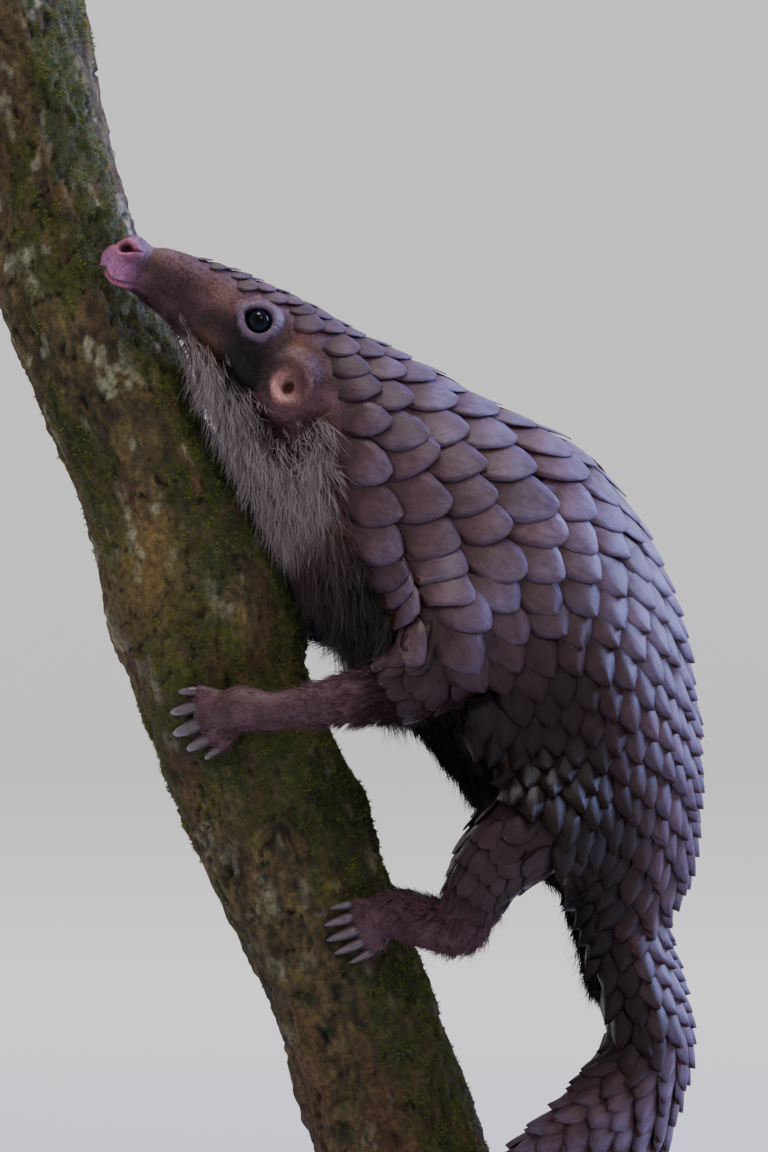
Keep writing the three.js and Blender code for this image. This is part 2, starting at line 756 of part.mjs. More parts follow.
const group = new THREE.Group();
for (const [name, whole] of Object.entries(solids)) {
  const mesh = largest(whole).getMesh();
  const geometry = new THREE.BufferGeometry();
  geometry.setAttribute("position", new THREE.BufferAttribute(mesh.vertProperties, 3));
  geometry.setIndex(new THREE.BufferAttribute(mesh.triVerts, 1));
  geometry.computeVertexNormals();
  const [color, roughness, metalness] = Object.entries(LOOKS).find(([key]) =>
    name.startsWith(key),
  )[1];
  const made = new THREE.Mesh(
    geometry,
    new THREE.MeshStandardMaterial({ color, roughness, metalness }),
  );
  made.name = name;
  group.add(made);
}

export default group;
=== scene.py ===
# A tree pangolin climbing a leaning trunk: the finish of a museum model, as large as life.
# Sizes here are millimetres, as in the solids, and become metres where a mesh is made.
import math

import bmesh
import bpy
import numpy as np
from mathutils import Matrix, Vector
from mathutils.bvhtree import BVHTree
from mathutils.kdtree import KDTree


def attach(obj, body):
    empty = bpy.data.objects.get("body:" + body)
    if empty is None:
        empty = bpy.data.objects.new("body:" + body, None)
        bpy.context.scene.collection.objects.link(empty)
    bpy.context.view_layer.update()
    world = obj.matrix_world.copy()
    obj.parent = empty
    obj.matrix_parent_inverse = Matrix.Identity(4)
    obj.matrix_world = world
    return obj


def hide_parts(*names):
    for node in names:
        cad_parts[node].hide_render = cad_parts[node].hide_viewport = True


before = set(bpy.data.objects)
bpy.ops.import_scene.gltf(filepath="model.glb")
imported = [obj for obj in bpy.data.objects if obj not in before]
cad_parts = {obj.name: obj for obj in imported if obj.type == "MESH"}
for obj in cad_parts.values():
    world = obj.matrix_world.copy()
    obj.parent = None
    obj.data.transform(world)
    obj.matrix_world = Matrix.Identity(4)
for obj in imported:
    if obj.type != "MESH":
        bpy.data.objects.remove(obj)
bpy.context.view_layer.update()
MM = 0.001
random = np.random.default_rng(11)

# The photograph's height in pixels and the size of one at the animal, and the camera's place
PHOTO = {"height": 1152, "mm_per_pixel": 0.35}
CAMERA = {"x": -16.1, "y": -3000.0, "z": 367.2, "sensor": 36.0}

# Driving dimensions that the solids have as well
BASE = {"length": 300, "width": 210, "thickness": 18, "corner": 26, "bevel": 3}
ROD = {"radius": 5, "spacing": 26, "under": 20}
# The trunk is sawn level at its foot. Its line: place and radius
TRUNK_FOOT = 64
TRUNK_LINE = [
    [31, 0, 44, 28.5],
    [20, 0, 80, 28.5],
    [8, 0, 114, 28],
    [-4.5, 0, 149, 28],
    [-16.5, 0, 184, 28.5],
    [-28.7, 0, 219, 29],
    [-41.3, 0, 254, 28.5],
    [-56, 0, 289, 30],
    [-71.5, 0, 324, 31.5],
    [-78, 1.5, 352, 33],
    [-94.5, 7, 394, 28],
    [-110, 13, 430, 27],
    [-123, 18, 464, 26.5],
    [-133, 22, 499, 26],
    [-141, 25, 534, 26],
    [-150, 28, 568, 26],
]
# The body's centre line from the nose to the tail root: place, half width, height and depth
BODY_LINE = [
    [-112, -11.6, 478, 3.4, 5.4, 3.6],
    [-109.2, -11.2, 476.8, 6.4, 9.6, 6.8],
    [-105.2, -10.7, 475.3, 7.6, 11.2, 8],
    [-100.8, -9.9, 473.4, 7.5, 10.8, 8.6],
    [-94.5, -8.8, 470.4, 8.2, 12.6, 10.2],
    [-85.8, -7.5, 465.2, 9.8, 15, 11.8],
    [-75.3, -6.2, 457.5, 12.6, 18.9, 15.8],
    [-64.8, -5, 449.1, 15.8, 22, 21.5],
    [-54.3, -3.8, 440.7, 18.8, 25.2, 28.5],
    [-43.8, -2.6, 431.2, 22.3, 28, 35.5],
    [-29.8, -1.2, 418.3, 27.5, 33.4, 41.5],
    [-12.3, 0, 400.8, 34.5, 41, 47],
    [7, 0, 378, 42, 55, 51],
    [24.5, 0, 355.3, 46.5, 56.4, 52.5],
    [38.5, 0, 332.5, 48, 51.1, 49],
    [49, 0, 308, 47, 42.6, 42],
    [56.7, 0, 285.3, 42, 35.7, 33.6],
    [62, 0, 264.3, 34.5, 26.6, 23.5],
    [63.7, 0, 243.3, 27, 16.5, 14.5],
]
# The tail from the rump to the trunk: how far up the trunk, degrees round it, how far out from its
# middle, and half width, height and depth. Then it winds down round the trunk in equal turns
TAIL_LEAD = [
    [140, -1, 93, 25, 14.5, 12.5],
    [121, -5, 82, 24, 13.5, 11.5],
    [105, -18, 64, 23, 12.8, 10.5],
    [95, -42, 50.5, 22, 12.3, 10],
]
TAIL_WIND = {"from": 89, "angle": -70, "turns": 15, "turn": -28, "fall": 3.2}
# Its half sizes where it meets the trunk and at its tip, how evenly it narrows, its gap to the bark,
# and how far from the nose it begins
TAIL_HALF = [21, 12, 9.5]
TAIL_TIP = [3, 2.2, 1.8]
TAIL_TAPER = 0.85
TAIL_CLEAR = 2.2
TAIL_FROM = 306
# Each leg from its root to its wrist: place and radius
LEG_LINES = {
    "foreleg_left": [
        [8.8, -24, 367.5, 22],
        [7, -41, 350, 21],
        [-1.8, -46, 333.6, 17.5],
        [-18, -46.5, 327, 12.5],
        [-36.8, -44.5, 323.5, 9.6],
        [-54.3, -42, 320.5, 7.8],
    ],
    "foreleg_right": [
        [2, 24, 374, 22],
        [-12, 37, 362, 20],
        [-29, 44, 354, 16.5],
        [-42, 45, 361, 13.5],
        [-52, 42.5, 371, 11],
        [-61, 39.5, 380.5, 8.5],
    ],
    "hindleg_left": [
        [50.8, -26, 292.3, 25],
        [38, -42, 281, 22],
        [23.5, -48.5, 270.5, 16.5],
        [16, -46, 256, 12],
        [9.5, -41.5, 244, 9],
    ],
    "hindleg_right": [
        [50.8, 26, 292.3, 25],
        [38, 42, 281, 22],
        [23.5, 48.5, 270.5, 16.5],
        [16, 46, 256, 12],
        [9.5, 41.5, 244, 9],
    ],
}
LEG_FLAT = [0.92, 0.86, 0.86]
# Each foot: how far up the trunk, and degrees round it to the heel, the knuckles and the claws' ends
FEET = {
    "forefoot_left": {"up": 293.5, "heel": -84, "knuckle": -98, "tip": -124},
    "forefoot_right": {"up": 366, "heel": 80, "knuckle": 97, "tip": 124},
    "hindfoot_left": {"up": 208, "heel": -46, "knuckle": -62, "tip": -88},
    "hindfoot_right": {"up": 208, "heel": 46, "knuckle": 62, "tip": 88},
}
# Five digits: how far up from the foot's middle, share of the full reach, and radius
FORE_DIGITS = [[-9.8, 0.62, 2.5], [-5.2, 0.94, 3.6], [0.2, 1.1, 4.2], [5.6, 0.96, 3.6], [10.2, 0.62, 2.5]]
HIND_DIGITS = [[-9.2, 0.68, 2.5], [-4.8, 0.94, 3.2], [0, 1, 3.5], [4.8, 0.94, 3.2], [9.2, 0.66, 2.5]]
# Places on the head: distance from the nose and degrees down from the back
EYE = {"along": 54.7, "angle": 67, "radius": 4.9, "sunk": 2.2}
EAR = {"along": 77, "angle": 95}
NOSTRIL = {"along": 3.6, "angle": 58}
MOUTH = {"from": 3, "to": 24, "angle": 152, "end_angle": 108}

# A rod's collar: radius, height and the slope of its edges
COLLAR = {"radius": 9.4, "height": 2.7, "edge": 0.4}
# Cells of the smooth surface and of the feet
CARRIER_CELL = 2.2
FOOT_CELL = 0.9
# The face has its own finer skin, which laps over the smooth one between these distances
FACE_LAP = {"from": 100, "to": 114}
# Round the first stretch of each leg the surface is eased, and under the scales its hollows are filled
# too. That is done fully within one distance of the leg's middle line, and fades out to the other
LEG_ROOT = 24
EASED = {"within": 24, "to": 40, "rounds": 70}
FILLED = {"within": 40, "to": 62, "rounds": 260, "last_rounds": 12}
# How far from a leg's root the body's scales end, and how far from it the leg's own end
BODY_SCALES_END = {"fore": 34, "hind": 26}
LEG_SCALES_END = {"fore": 47, "hind": 54}
# A leg's scales cover it to this many radians either side of its outer line, and their roots are at
# most this far from its middle line. From one to the next it is so far, at so far from the leg's root
LEG_SCALES_TURN = 1.95
LEG_SCALES_REACH = 34
LEG_SPACING = {"at": [3, 40], "spacing": [12.8, 8.4]}
# The head's scales end and the back's begin here
NAPE = 92

# Scales along the body: distance from the nose, row to row, one to the next, end of the row in
# degrees down from the back, how far their tips are drawn out to a point, length, and how far the
# middle stands above the edges
SCALE_ROWS = [
    [25, 3.4, 5.6, 14, 0.45, 8, 0.15],
    [33, 3.8, 6.6, 27, 0.45, 9.2, 0.2],
    [42, 4.2, 7.2, 40, 0.45, 10.4, 0.2],
    [50, 4.6, 7.9, 42, 0.45, 11.4, 0.2],
    [58, 5, 8.6, 42, 0.45, 12.4, 0.2],
    [66, 5.5, 9.4, 52, 0.45, 13.6, 0.25],
    [75, 6.4, 10.5, 58, 0.45, 15.6, 0.25],
    [84, 7.6, 12, 69, 0.5, 18.4, 0.3],
    [94, 9, 13.8, 92, 0.5, 21.4, 0.3],
    [104, 10, 15.6, 105, 0.5, 23.6, 0.3],
    [116, 10.9, 17.2, 117, 0.5, 25.6, 0.3],
    [131, 11.5, 18.2, 126, 0.5, 27, 0.3],
    [150, 11.2, 18.2, 128, 0.5, 26.4, 0.35],
    [165, 9.8, 17.2, 126, 0.55, 23.6, 0.5],
    [185, 8, 15.6, 124, 0.7, 20.4, 1.4],
    [205, 6.4, 14.4, 123, 0.9, 18.4, 2.3],
    [225, 5.4, 13.6, 123, 1, 17.2, 2.7],
    [245, 5, 13, 124, 1, 16.6, 2.8],
    [280, 4.8, 12.6, 122, 1, 16.2, 2.8],
    [306, 5, 12.4, 120, 1, 16, 2.5],
    [325, 5.2, 12.3, 124, 1, 16.1, 2.4],
    [345, 5.4, 12.2, 168, 1, 16.2, 2.2],
    [420, 5.6, 11.4, 172, 0.9, 16, 1.8],
    [500, 5.4, 10.6, 158, 0.85, 15, 1.5],
    [560, 5.2, 9.8, 150, 0.8, 14, 1.2],
    [680, 4.2, 7.4, 160, 0.7, 10.5, 0.8],
    [742, 3.2, 5, 170, 0.6, 6.5, 0.4],
]


def unit(vectors):
    return vectors / np.maximum(np.linalg.norm(vectors, axis=-1, keepdims=True), 1e-9)


def dot(a, b):
    return (a * b).sum(-1)


def ease(low, high, value):
    """0 below low, 1 above high, and a smooth step between them."""
    share = np.clip((value - low) / (high - low), 0, 1)
    return share * share * (3 - 2 * share)


def hump(value, width):
    return np.exp(-((value / width) ** 2))


def noise(points, lump, seed=0):
    """Smooth random values from -1 to 1, in lumps about that many millimetres across."""
    at = np.asarray(points) / lump + seed * 17.3
    low = np.floor(at).astype(np.int64)
    part = at - low
    part = part * part * (3 - 2 * part)
    total = 0.0
    for corner in np.ndindex(2, 2, 2):
        cell = low + np.array(corner)
        mixed = (cell * np.array([73856093, 19349663, 83492791])).sum(-1)
        mixed = ((mixed ^ (mixed >> 13)) * 1274126177) & 0xFFFFFFFF
        value = ((mixed ^ (mixed >> 16)) & 0xFFFF) / 32767.5 - 1
        share = np.prod(np.where(np.array(corner) == 1, part, 1 - part), axis=-1)
        total = total + value * share
    return total


def linear(hex_colour):
    """An sRGB hex colour as linear red, green and blue."""
    values = np.array([int(hex_colour[i : i + 2], 16) for i in (1, 3, 5)]) / 255
    return np.where(values <= 0.04045, values / 12.92, ((values + 0.055) / 1.055) ** 2.4)


def mixed(below, above, share):
    share = np.asarray(share)[..., None]
    return below * (1 - share) + above * share


class Form:
    """A rounded form along a bent line. Angles go round it from the middle of its back."""

    STEPS_PER_STATION = 20

    def __init__(self, stations, backs, relief=None):
        stations = np.array(stations, float)
        self.points = self.padded(stations[:, :3])
        self.sizes = self.padded(stations[:, 3:])
        self.backs = self.padded(np.array(backs, float))
        self.relief = relief
        self.steps = len(stations) * self.STEPS_PER_STATION
        line = self.read(self.points, np.linspace(0, 1, self.steps + 1))
        runs = np.linalg.norm(np.diff(line, axis=0), axis=1)
        self.reached = np.concatenate([[0], np.cumsum(runs)])
        self.length = self.reached[-1]

    @staticmethod
    def padded(points):
        return np.vstack([2 * points[0] - points[1], points, 2 * points[-1] - points[-2]])

    @staticmethod
    def read(points, share):
        """A place on the smooth curve through the points."""
        at = (len(points) - 3) * np.clip(share, 0, 1)
        low = np.minimum(np.floor(at).astype(int), len(points) - 4)
        t = (at - low)[..., None]
        p0, p1, p2, p3 = (points[low + i] for i in range(4))
        start, end = 0.5 * (p2 - p0), 0.5 * (p3 - p1)
        return p1 + t * (start + t * (3 * (p2 - p1) - 2 * start - end + t * (2 * (p1 - p2) + start + end)))

    def frame(self, distance):
        share = np.interp(distance, self.reached, np.arange(self.steps + 1)) / self.steps
        ahead = self.read(self.points, share + 1e-4) - self.read(self.points, share - 1e-4)
        tangent = unit(ahead)
        back = self.read(self.backs, share)
        back = unit(back - tangent * dot(back, tangent)[..., None])
        side = np.cross(tangent, back)
        return self.read(self.points, share), tangent, back, side, self.read(self.sizes, share)

    def surface(self, distance, angle):
        distance, angle = np.broadcast_arrays(np.asarray(distance, float), np.asarray(angle, float))
        centre, _, back, side, sizes = self.frame(distance)
        rise = np.where(np.cos(angle) > 0, sizes[..., 1], sizes[..., 2])
        swell = self.relief(distance, angle) if self.relief else 0
        across = (sizes[..., 0] + swell) * np.sin(angle)
        up = (rise + swell) * np.cos(angle)
        return centre + side * across[..., None] + back * up[..., None]

    def normal(self, distance, angle):
        along = self.surface(distance + 0.5, angle) - self.surface(distance - 0.5, angle)
        around = self.surface(distance, angle + 0.02) - self.surface(distance, angle - 0.02)
        return unit(np.cross(around, along))

    def point(self, distance, angle, height):
        lift = np.asarray(height)[..., None] if np.ndim(height) else height
        return self.surface(distance, angle) + self.normal(distance, angle) * lift


def upright_backs(stations):
    """The way the animal's back faces at each station: square to its line and in its middle plane."""
    backs = []
    for i in range(len(stations)):
        before = stations[max(i - 1, 0)]
        after = stations[min(i + 1, len(stations) - 1)]
        backs.append(unit(np.array([before[2] - after[2], 0, after[0] - before[0]], float)))
    return backs


def bark_relief(distance, angle):
    return (
        0.9 * np.sin(distance / 17 + 2 * angle)
        + 0.7 * np.sin(distance / 9.5 - 3 * angle + 1)
        + 0.5 * np.cos(distance / 31 + 5 * angle)
    )


trunk_stations = [[x, y, z, r, r, r] for x, y, z, r in TRUNK_LINE]
trunk = Form(trunk_stations, [[1, 0, 0.34]] * len(TRUNK_LINE), bark_relief)


def beside_trunk(up, degrees, out):
    """A point so far up the trunk, round it from its upper side, and out from its centre."""
    centre, _, back, side, _ = trunk.frame(np.asarray(up, float))
    turn = np.radians(degrees)
    return centre + back * (out * np.cos(turn)) + side * (out * np.sin(turn))


def trunk_rim(up):
    return trunk.frame(np.asarray(up, float))[4][0]


def away_from_trunk(up, degrees):
    return beside_trunk(up, degrees, 1) - beside_trunk(up, degrees, 0)


def tail_path():
    """Stations of the tail and the way its back faces: out from the trunk that it winds round."""
    stations, backs = [], []
    for up, degrees, out, *half in TAIL_LEAD:
        stations.append([*beside_trunk(up, degrees, out), *half])
        backs.append(away_from_trunk(up, degrees))
    for i in range(TAIL_WIND["turns"] + 1):
        left = (1 - i / TAIL_WIND["turns"]) ** TAIL_TAPER
        half = [tip + (wide - tip) * left for wide, tip in zip(TAIL_HALF, TAIL_TIP)]
        up = TAIL_WIND["from"] - TAIL_WIND["fall"] * i
        degrees = TAIL_WIND["angle"] + TAIL_WIND["turn"] * i
        stations.append([*beside_trunk(up, degrees, trunk_rim(up) + half[2] + TAIL_CLEAR), *half])
        backs.append(away_from_trunk(up, degrees))
    return stations, backs


tail_stations, tail_backs = tail_path()
body = Form([*BODY_LINE, *tail_stations], [*upright_backs(BODY_LINE), *tail_backs])


def leg_form(line):
    """A leg's form, a little flatter than round, with its back on its outer side."""
    stations = [[x, y, z, *(r * flat for flat in LEG_FLAT)] for x, y, z, r in line]
    return Form(stations, [[0, math.copysign(1, line[1][1]), 0]] * len(line))


legs = {name: leg_form(line) for name, line in LEG_LINES.items()}
forms = [body, *legs.values()]


def on_head(spot, side):
    """A place on the head and the directions there: out, tailward and towards the back."""
    turn = math.radians(spot["angle"]) * side
    out = body.normal(spot["along"], turn)
    tangent = body.frame(np.asarray(spot["along"], float))[1]
    tailward = unit(tangent - out * dot(tangent, out))
    return body.surface(spot["along"], turn), out, tailward, np.cross(out, tailward) * side


# Meshes

def tube(points):
    """Faces for rings of points, (rings, sides, 3), closed at both ends by a middle point."""
    rings, sides = points.shape[:2]
    grid = np.arange(rings * sides).reshape(rings, sides)
    after = np.roll(grid, -1, axis=1)
    quads = np.stack([grid[:-1], after[:-1], after[1:], grid[1:]], -1).reshape(-1, 4)
    first, last = rings * sides, rings * sides + 1
    start = np.stack([after[0], grid[0], np.full(sides, first)], -1)
    end = np.stack([grid[-1], after[-1], np.full(sides, last)], -1)
    ends = np.stack([points[0].mean(0), points[-1].mean(0)])
    return np.vstack([points.reshape(-1, 3), ends]), [quads, start, end]


def joined(parts):
    """Several (points, faces) as one."""
    points, faces, count = [], [], 0
    for part_points, part_faces in parts:
        points.append(part_points)
        faces += [block + count for block in part_faces]
        count += len(part_points)
    return np.vstack(points), faces


def plain_mesh(name, points, faces):
    mesh = bpy.data.meshes.new(name)
    polygons = [face for block in faces for face in np.asarray(block).tolist()]
    mesh.from_pydata((np.asarray(points) * MM).tolist(), [], polygons)
    mesh.shade_smooth()
    return mesh


def paint(mesh, colours, name="Tint"):
    layer = mesh.color_attributes.new(name, "FLOAT_COLOR", "POINT")
    rgba = np.ones((len(mesh.vertices), 4), np.float32)
    rgba[:, :3] = colours
    layer.data.foreach_set("color", rgba.ravel())


def add_uv(mesh, name, places):
    """A UV map from one (u, v) for each vertex."""
    corners = np.empty(len(mesh.loops), np.int32)
    mesh.loops.foreach_get("vertex_index", corners)
    layer = mesh.uv_layers.new(name=name)
    layer.data.foreach_set("uv", np.asarray(places, np.float32)[corners].ravel())


def put(name, mesh, material, replaces=()):
    """Makes a piece of a mesh: it rides on the one body and may take the place of nodes."""
    piece = bpy.data.objects.new(name, mesh)
    bpy.context.scene.collection.objects.link(piece)
    mesh.materials.clear()
    mesh.materials.append(material)
    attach(piece, "root")
    if replaces:
        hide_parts(*replaces)
    return piece


def evaluated(piece):
    """The piece's mesh with its modifiers applied, and the piece itself removed."""
    graph = bpy.context.evaluated_depsgraph_get()
    mesh = bpy.data.meshes.new_from_object(piece.evaluated_get(graph))
    bpy.data.objects.remove(piece)
    return mesh


def fused(name, parts, voxel, smooth):
    """Closed shells run together into one skin of even cells."""
    piece = bpy.data.objects.new(name, plain_mesh(name, *joined(parts)))
    bpy.context.scene.collection.objects.link(piece)
    remesh = piece.modifiers.new("cells", "REMESH")
    remesh.mode = "VOXEL"
    remesh.voxel_size = voxel * MM
    even = piece.modifiers.new("even", "SMOOTH")
    even.factor = 0.5
    even.iterations = smooth
    return evaluated(piece)


def mesh_points(mesh):
    co = np.empty(len(mesh.vertices) * 3, np.float32)
    mesh.vertices.foreach_get("co", co)
    return co.reshape(-1, 3).astype(float) / MM


def mesh_faces(mesh):
    """A mesh's polygons as blocks of three and four corners."""
    faces = [list(polygon.vertices) for polygon in mesh.polygons]
    return [np.array([f for f in faces if len(f) == k], int).reshape(-1, k) for k in (3, 4)]


# Materials

def add_node(tree, kind, inputs=None, **settings):
    """Adds a node with its settings. An input takes a value or another node's output."""
    made = tree.nodes.new(kind)
    for key, value in settings.items():
        setattr(made, key, value)
    for key, value in (inputs or {}).items():
        if isinstance(value, bpy.types.NodeSocket):
            tree.links.new(value, made.inputs[key])
        else:
            made.inputs[key].default_value = value
    return made


def rgba(hex_colour):
    return (*linear(hex_colour), 1)


def new_material(name):
    material = bpy.data.materials.new(name)
    material.use_nodes = True
    tree = material.node_tree
    tree.nodes.clear()
    shader = add_node(tree, "ShaderNodeBsdfPrincipled")
    output = add_node(tree, "ShaderNodeOutputMaterial", {"Surface": shader.outputs["BSDF"]})
    output.target = "ALL"
    return material, tree, shader


def set_values(shader, **values):
    for key, value in values.items():
        shader.inputs[key.replace("_", " ")].default_value = value


def ramp(tree, value, stops):
    """A colour ramp with (place, hex colour) stops."""
    made = add_node(tree, "ShaderNodeValToRGB", {"Fac": value})
    elements = made.color_ramp.elements
    while len(elements) < len(stops):
        elements.new(0.5)
    for element, (place, colour) in zip(elements, stops):
        element.position = place
        element.color = rgba(colour)
    return made.outputs["Color"]


def per_metre(size_mm):
    """The scale of a texture whose lumps are that many millimetres."""
    return 1 / (size_mm * MM)


def bump(tree, shader, height, depth_mm, normal=None):
    inputs = {"Height": height, "Distance": depth_mm * MM, "Strength": 1.0}
    if normal:
        inputs["Normal"] = normal
    made = add_node(tree, "ShaderNodeBump", inputs)
    tree.links.new(made.outputs["Normal"], shader.inputs["Normal"])
    return made.outputs["Normal"]


def multiplied(tree, colour, shade, share=1.0):
    mix = add_node(tree, "ShaderNodeMix", data_type="RGBA", blend_type="MULTIPLY")
    mix.inputs["Factor"].default_value = share
    tree.links.new(colour, mix.inputs["A"])
    tree.links.new(shade, mix.inputs["B"])
    return mix.outputs["Result"]


def own_tint(tree):
    """The colour painted on the piece's own points."""
    return add_node(tree, "ShaderNodeVertexColor", layer_name="Tint").outputs["Color"]


def own_place(tree):
    return add_node(tree, "ShaderNodeTexCoord").outputs["Object"]


def mottling(tree, place, size_mm, detail, roughness=0.5):
    """A noise pattern in lumps of that many millimetres."""
    inputs = {"Vector": place, "Scale": per_metre(size_mm), "Detail": detail, "Roughness": roughness}
    return add_node(tree, "ShaderNodeTexNoise", inputs).outputs["Fac"]


def bare_skin():
    """Living skin, thin and finely creased: soft light comes back out of it, with a low sheen."""
    material, tree, shader = new_material("bare_skin")
    place = own_place(tree)
    pores = mottling(tree, place, 0.9, 4)
    creases = add_node(tree, "ShaderNodeTexVoronoi", {"Vector": place, "Scale": per_metre(1.3)},
                       feature="DISTANCE_TO_EDGE")
    mottle = ramp(tree, pores, [(0.3, "#b9aeb2"), (0.7, "#ffffff")])
    tree.links.new(multiplied(tree, own_tint(tree), mottle), shader.inputs["Base Color"])
    groove = ramp(tree, creases.outputs["Distance"], [(0.0, "#000000"), (0.12, "#ffffff")])
    first = bump(tree, shader, groove, 0.05)
    bump(tree, shader, pores, 0.12, first)
    set_values(shader, Roughness=0.52, IOR=1.4, Specular_IOR_Level=0.3, Subsurface_Weight=0.1,
               Subsurface_Scale=0.0015)
    return material


def horn_scale():
    """Keratin plates, grown and worn: a satin face with fine ridges along it and scuffed tips."""
    material, tree, shader = new_material("horn_scale")
    face = add_node(tree, "ShaderNodeUVMap", uv_map="Grain").outputs["UV"]
    # growth ridges run along a scale about 0.6 mm apart, and waver
    ridges = add_node(tree, "ShaderNodeTexWave", {"Vector": face, "Scale": 0.52, "Distortion": 1.2,
                                                  "Detail": 2, "Detail Scale": 0.5})
    # stains and wear are drawn out along a scale, 2 mm wide and 6 mm long
    stretched = add_node(tree, "ShaderNodeMapping", {"Vector": face, "Scale": (0.5, 0.17, 1)})
    stains = add_node(tree, "ShaderNodeTexNoise", {"Vector": stretched.outputs["Vector"], "Scale": 1.0,
                                                   "Detail": 5, "Roughness": 0.6})
    dust = mottling(tree, own_place(tree), 5, 7, 0.68)
    streaks = ramp(tree, stains.outputs["Fac"], [(0.3, "#c2b6b6"), (0.62, "#ffffff")])
    colour = multiplied(tree, own_tint(tree), streaks, 0.7)
    worn = ramp(tree, dust, [(0.3, "#a89c9c"), (0.66, "#ffffff")])
    colour = multiplied(tree, colour, worn, 0.7)
    tree.links.new(colour, shader.inputs["Base Color"])
    rough = ramp(tree, dust, [(0.3, "#989898"), (0.7, "#bababa")])
    tree.links.new(rough, shader.inputs["Roughness"])
    first = bump(tree, shader, ridges.outputs["Fac"], 0.05)
    bump(tree, shader, dust, 0.16, first)
    set_values(shader, IOR=1.5, Specular_IOR_Level=0.17)
    return material


def hair_coat():
    """Hair: dull and soft, with the colour of the skin's own markings below it."""
    material, tree, shader = new_material("hair_coat")
    tree.links.new(own_tint(tree), shader.inputs["Base Color"])
    set_values(shader, Roughness=0.75, IOR=1.5, Specular_IOR_Level=0.15)
    return material


def wet_eye():
    """A living eye: dark iris under a wet clear cornea, so the lights show in it as sharp spots."""
    material, tree, shader = new_material("wet_eye")
    tree.links.new(own_tint(tree), shader.inputs["Base Color"])
    set_values(shader, Roughness=0.03, IOR=1.376, Specular_IOR_Level=0.16)
    return material


def claw_horn():
    """Claw: denser horn than the scales, smooth and slightly glossy, paler to the worn tip."""
    material, tree, shader = new_material("claw_horn")
    grain = mottling(tree, own_place(tree), 1.1, 3)
    shade = ramp(tree, grain, [(0.3, "#b8b0ae"), (0.7, "#ffffff")])
    tree.links.new(multiplied(tree, own_tint(tree), shade), shader.inputs["Base Color"])
    bump(tree, shader, grain, 0.08)
    set_values(shader, Roughness=0.38, IOR=1.54)
    return material


def mossy_bark():
    """Living bark, cracked and rough, with moss, lichen and bare patches on it, all matt."""
    material, tree, shader = new_material("mossy_bark")
    place = own_place(tree)
    fine = mottling(tree, place, 2.2, 8, 0.7)
    grain = mottling(tree, place, 0.8, 5, 0.7)
    shade = ramp(tree, fine, [(0.32, "#6f6a62"), (0.5, "#c9c6bd"), (0.68, "#ffffff")])
    tree.links.new(multiplied(tree, own_tint(tree), shade), shader.inputs["Base Color"])
    first = bump(tree, shader, fine, 1.1)
    bump(tree, shader, grain, 0.5, first)
    set_values(shader, Roughness=0.93, IOR=1.45)
    return material


def moss_leaf():
    """Living moss leaves: soft olive green, thin enough for light to pass a little way in."""
    material, tree, shader = new_material("moss_leaf")
    clump = mottling(tree, own_place(tree), 6, 4)
    colour = ramp(tree, clump, [(0.35, "#333b0c"), (0.5, "#465410"), (0.68, "#66701e")])
    tree.links.new(colour, shader.inputs["Base Color"])
    set_values(shader, Roughness=0.8, IOR=1.4, Subsurface_Weight=0.1, Subsurface_Scale=0.001)
    return material


def oiled_walnut():
    """A planed, oiled walnut board: brown with darker grain lines along it and a soft sheen."""
    material, tree, shader = new_material("oiled_walnut")
    # grain in bands about 5 mm wide, drawn out twelve times as long along the board
    along = add_node(tree, "ShaderNodeMapping", {"Vector": own_place(tree), "Scale": (0.08, 1, 1)})
    grain = add_node(tree, "ShaderNodeTexNoise", {"Vector": along.outputs["Vector"],
                                                  "Scale": per_metre(5), "Detail": 8, "Roughness": 0.6,
                                                  "Distortion": 0.6})
    colour = ramp(tree, grain.outputs["Fac"], [(0.32, "#3a2416"), (0.5, "#5b3a25"), (0.68, "#74503a")])
    tree.links.new(colour, shader.inputs["Base Color"])
    bump(tree, shader, grain.outputs["Fac"], 0.08)
    set_values(shader, Roughness=0.42, IOR=1.5)
    return material


def brushed_steel():
    """Stainless steel rod, brushed round: bright, with fine dull lines that widen its glints."""
    material, tree, shader = new_material("brushed_steel")
    # brush lines about 0.8 mm wide up the rod, drawn out twenty times as long round it
    round_rod = add_node(tree, "ShaderNodeMapping", {"Vector": own_place(tree), "Scale": (0.05, 0.05, 1)})
    lines = mottling(tree, round_rod.outputs["Vector"], 0.8, 3)
    bump(tree, shader, lines, 0.03)
    rough = ramp(tree, lines, [(0.3, "#4a4a4a"), (0.7, "#6a6a6a")])
    tree.links.new(rough, shader.inputs["Roughness"])
    shader.inputs["Base Color"].default_value = rgba("#b8b9bb")
    set_values(shader, Metallic=1.0)
    return material


def pale_paper():
    """Matt studio paper: light grey where the stand is, and paler out towards the wall."""
    material, tree, shader = new_material("pale_paper")
    # the middle 2 m stay grey, and from 4.5 m out it is nearly white
    size = add_node(tree, "ShaderNodeMapping", {"Vector": own_place(tree), "Scale": (1 / 5, 1 / 5, 0)})
    out = add_node(tree, "ShaderNodeVectorMath", {0: size.outputs["Vector"]}, operation="LENGTH")
    colour = ramp(tree, out.outputs["Value"], [(0.4, "#bdbbb8"), (0.9, "#f4f3f0")])
    tree.links.new(colour, shader.inputs["Base Color"])
    set_values(shader, Roughness=0.95)
    return material


# Camera, lights and floor

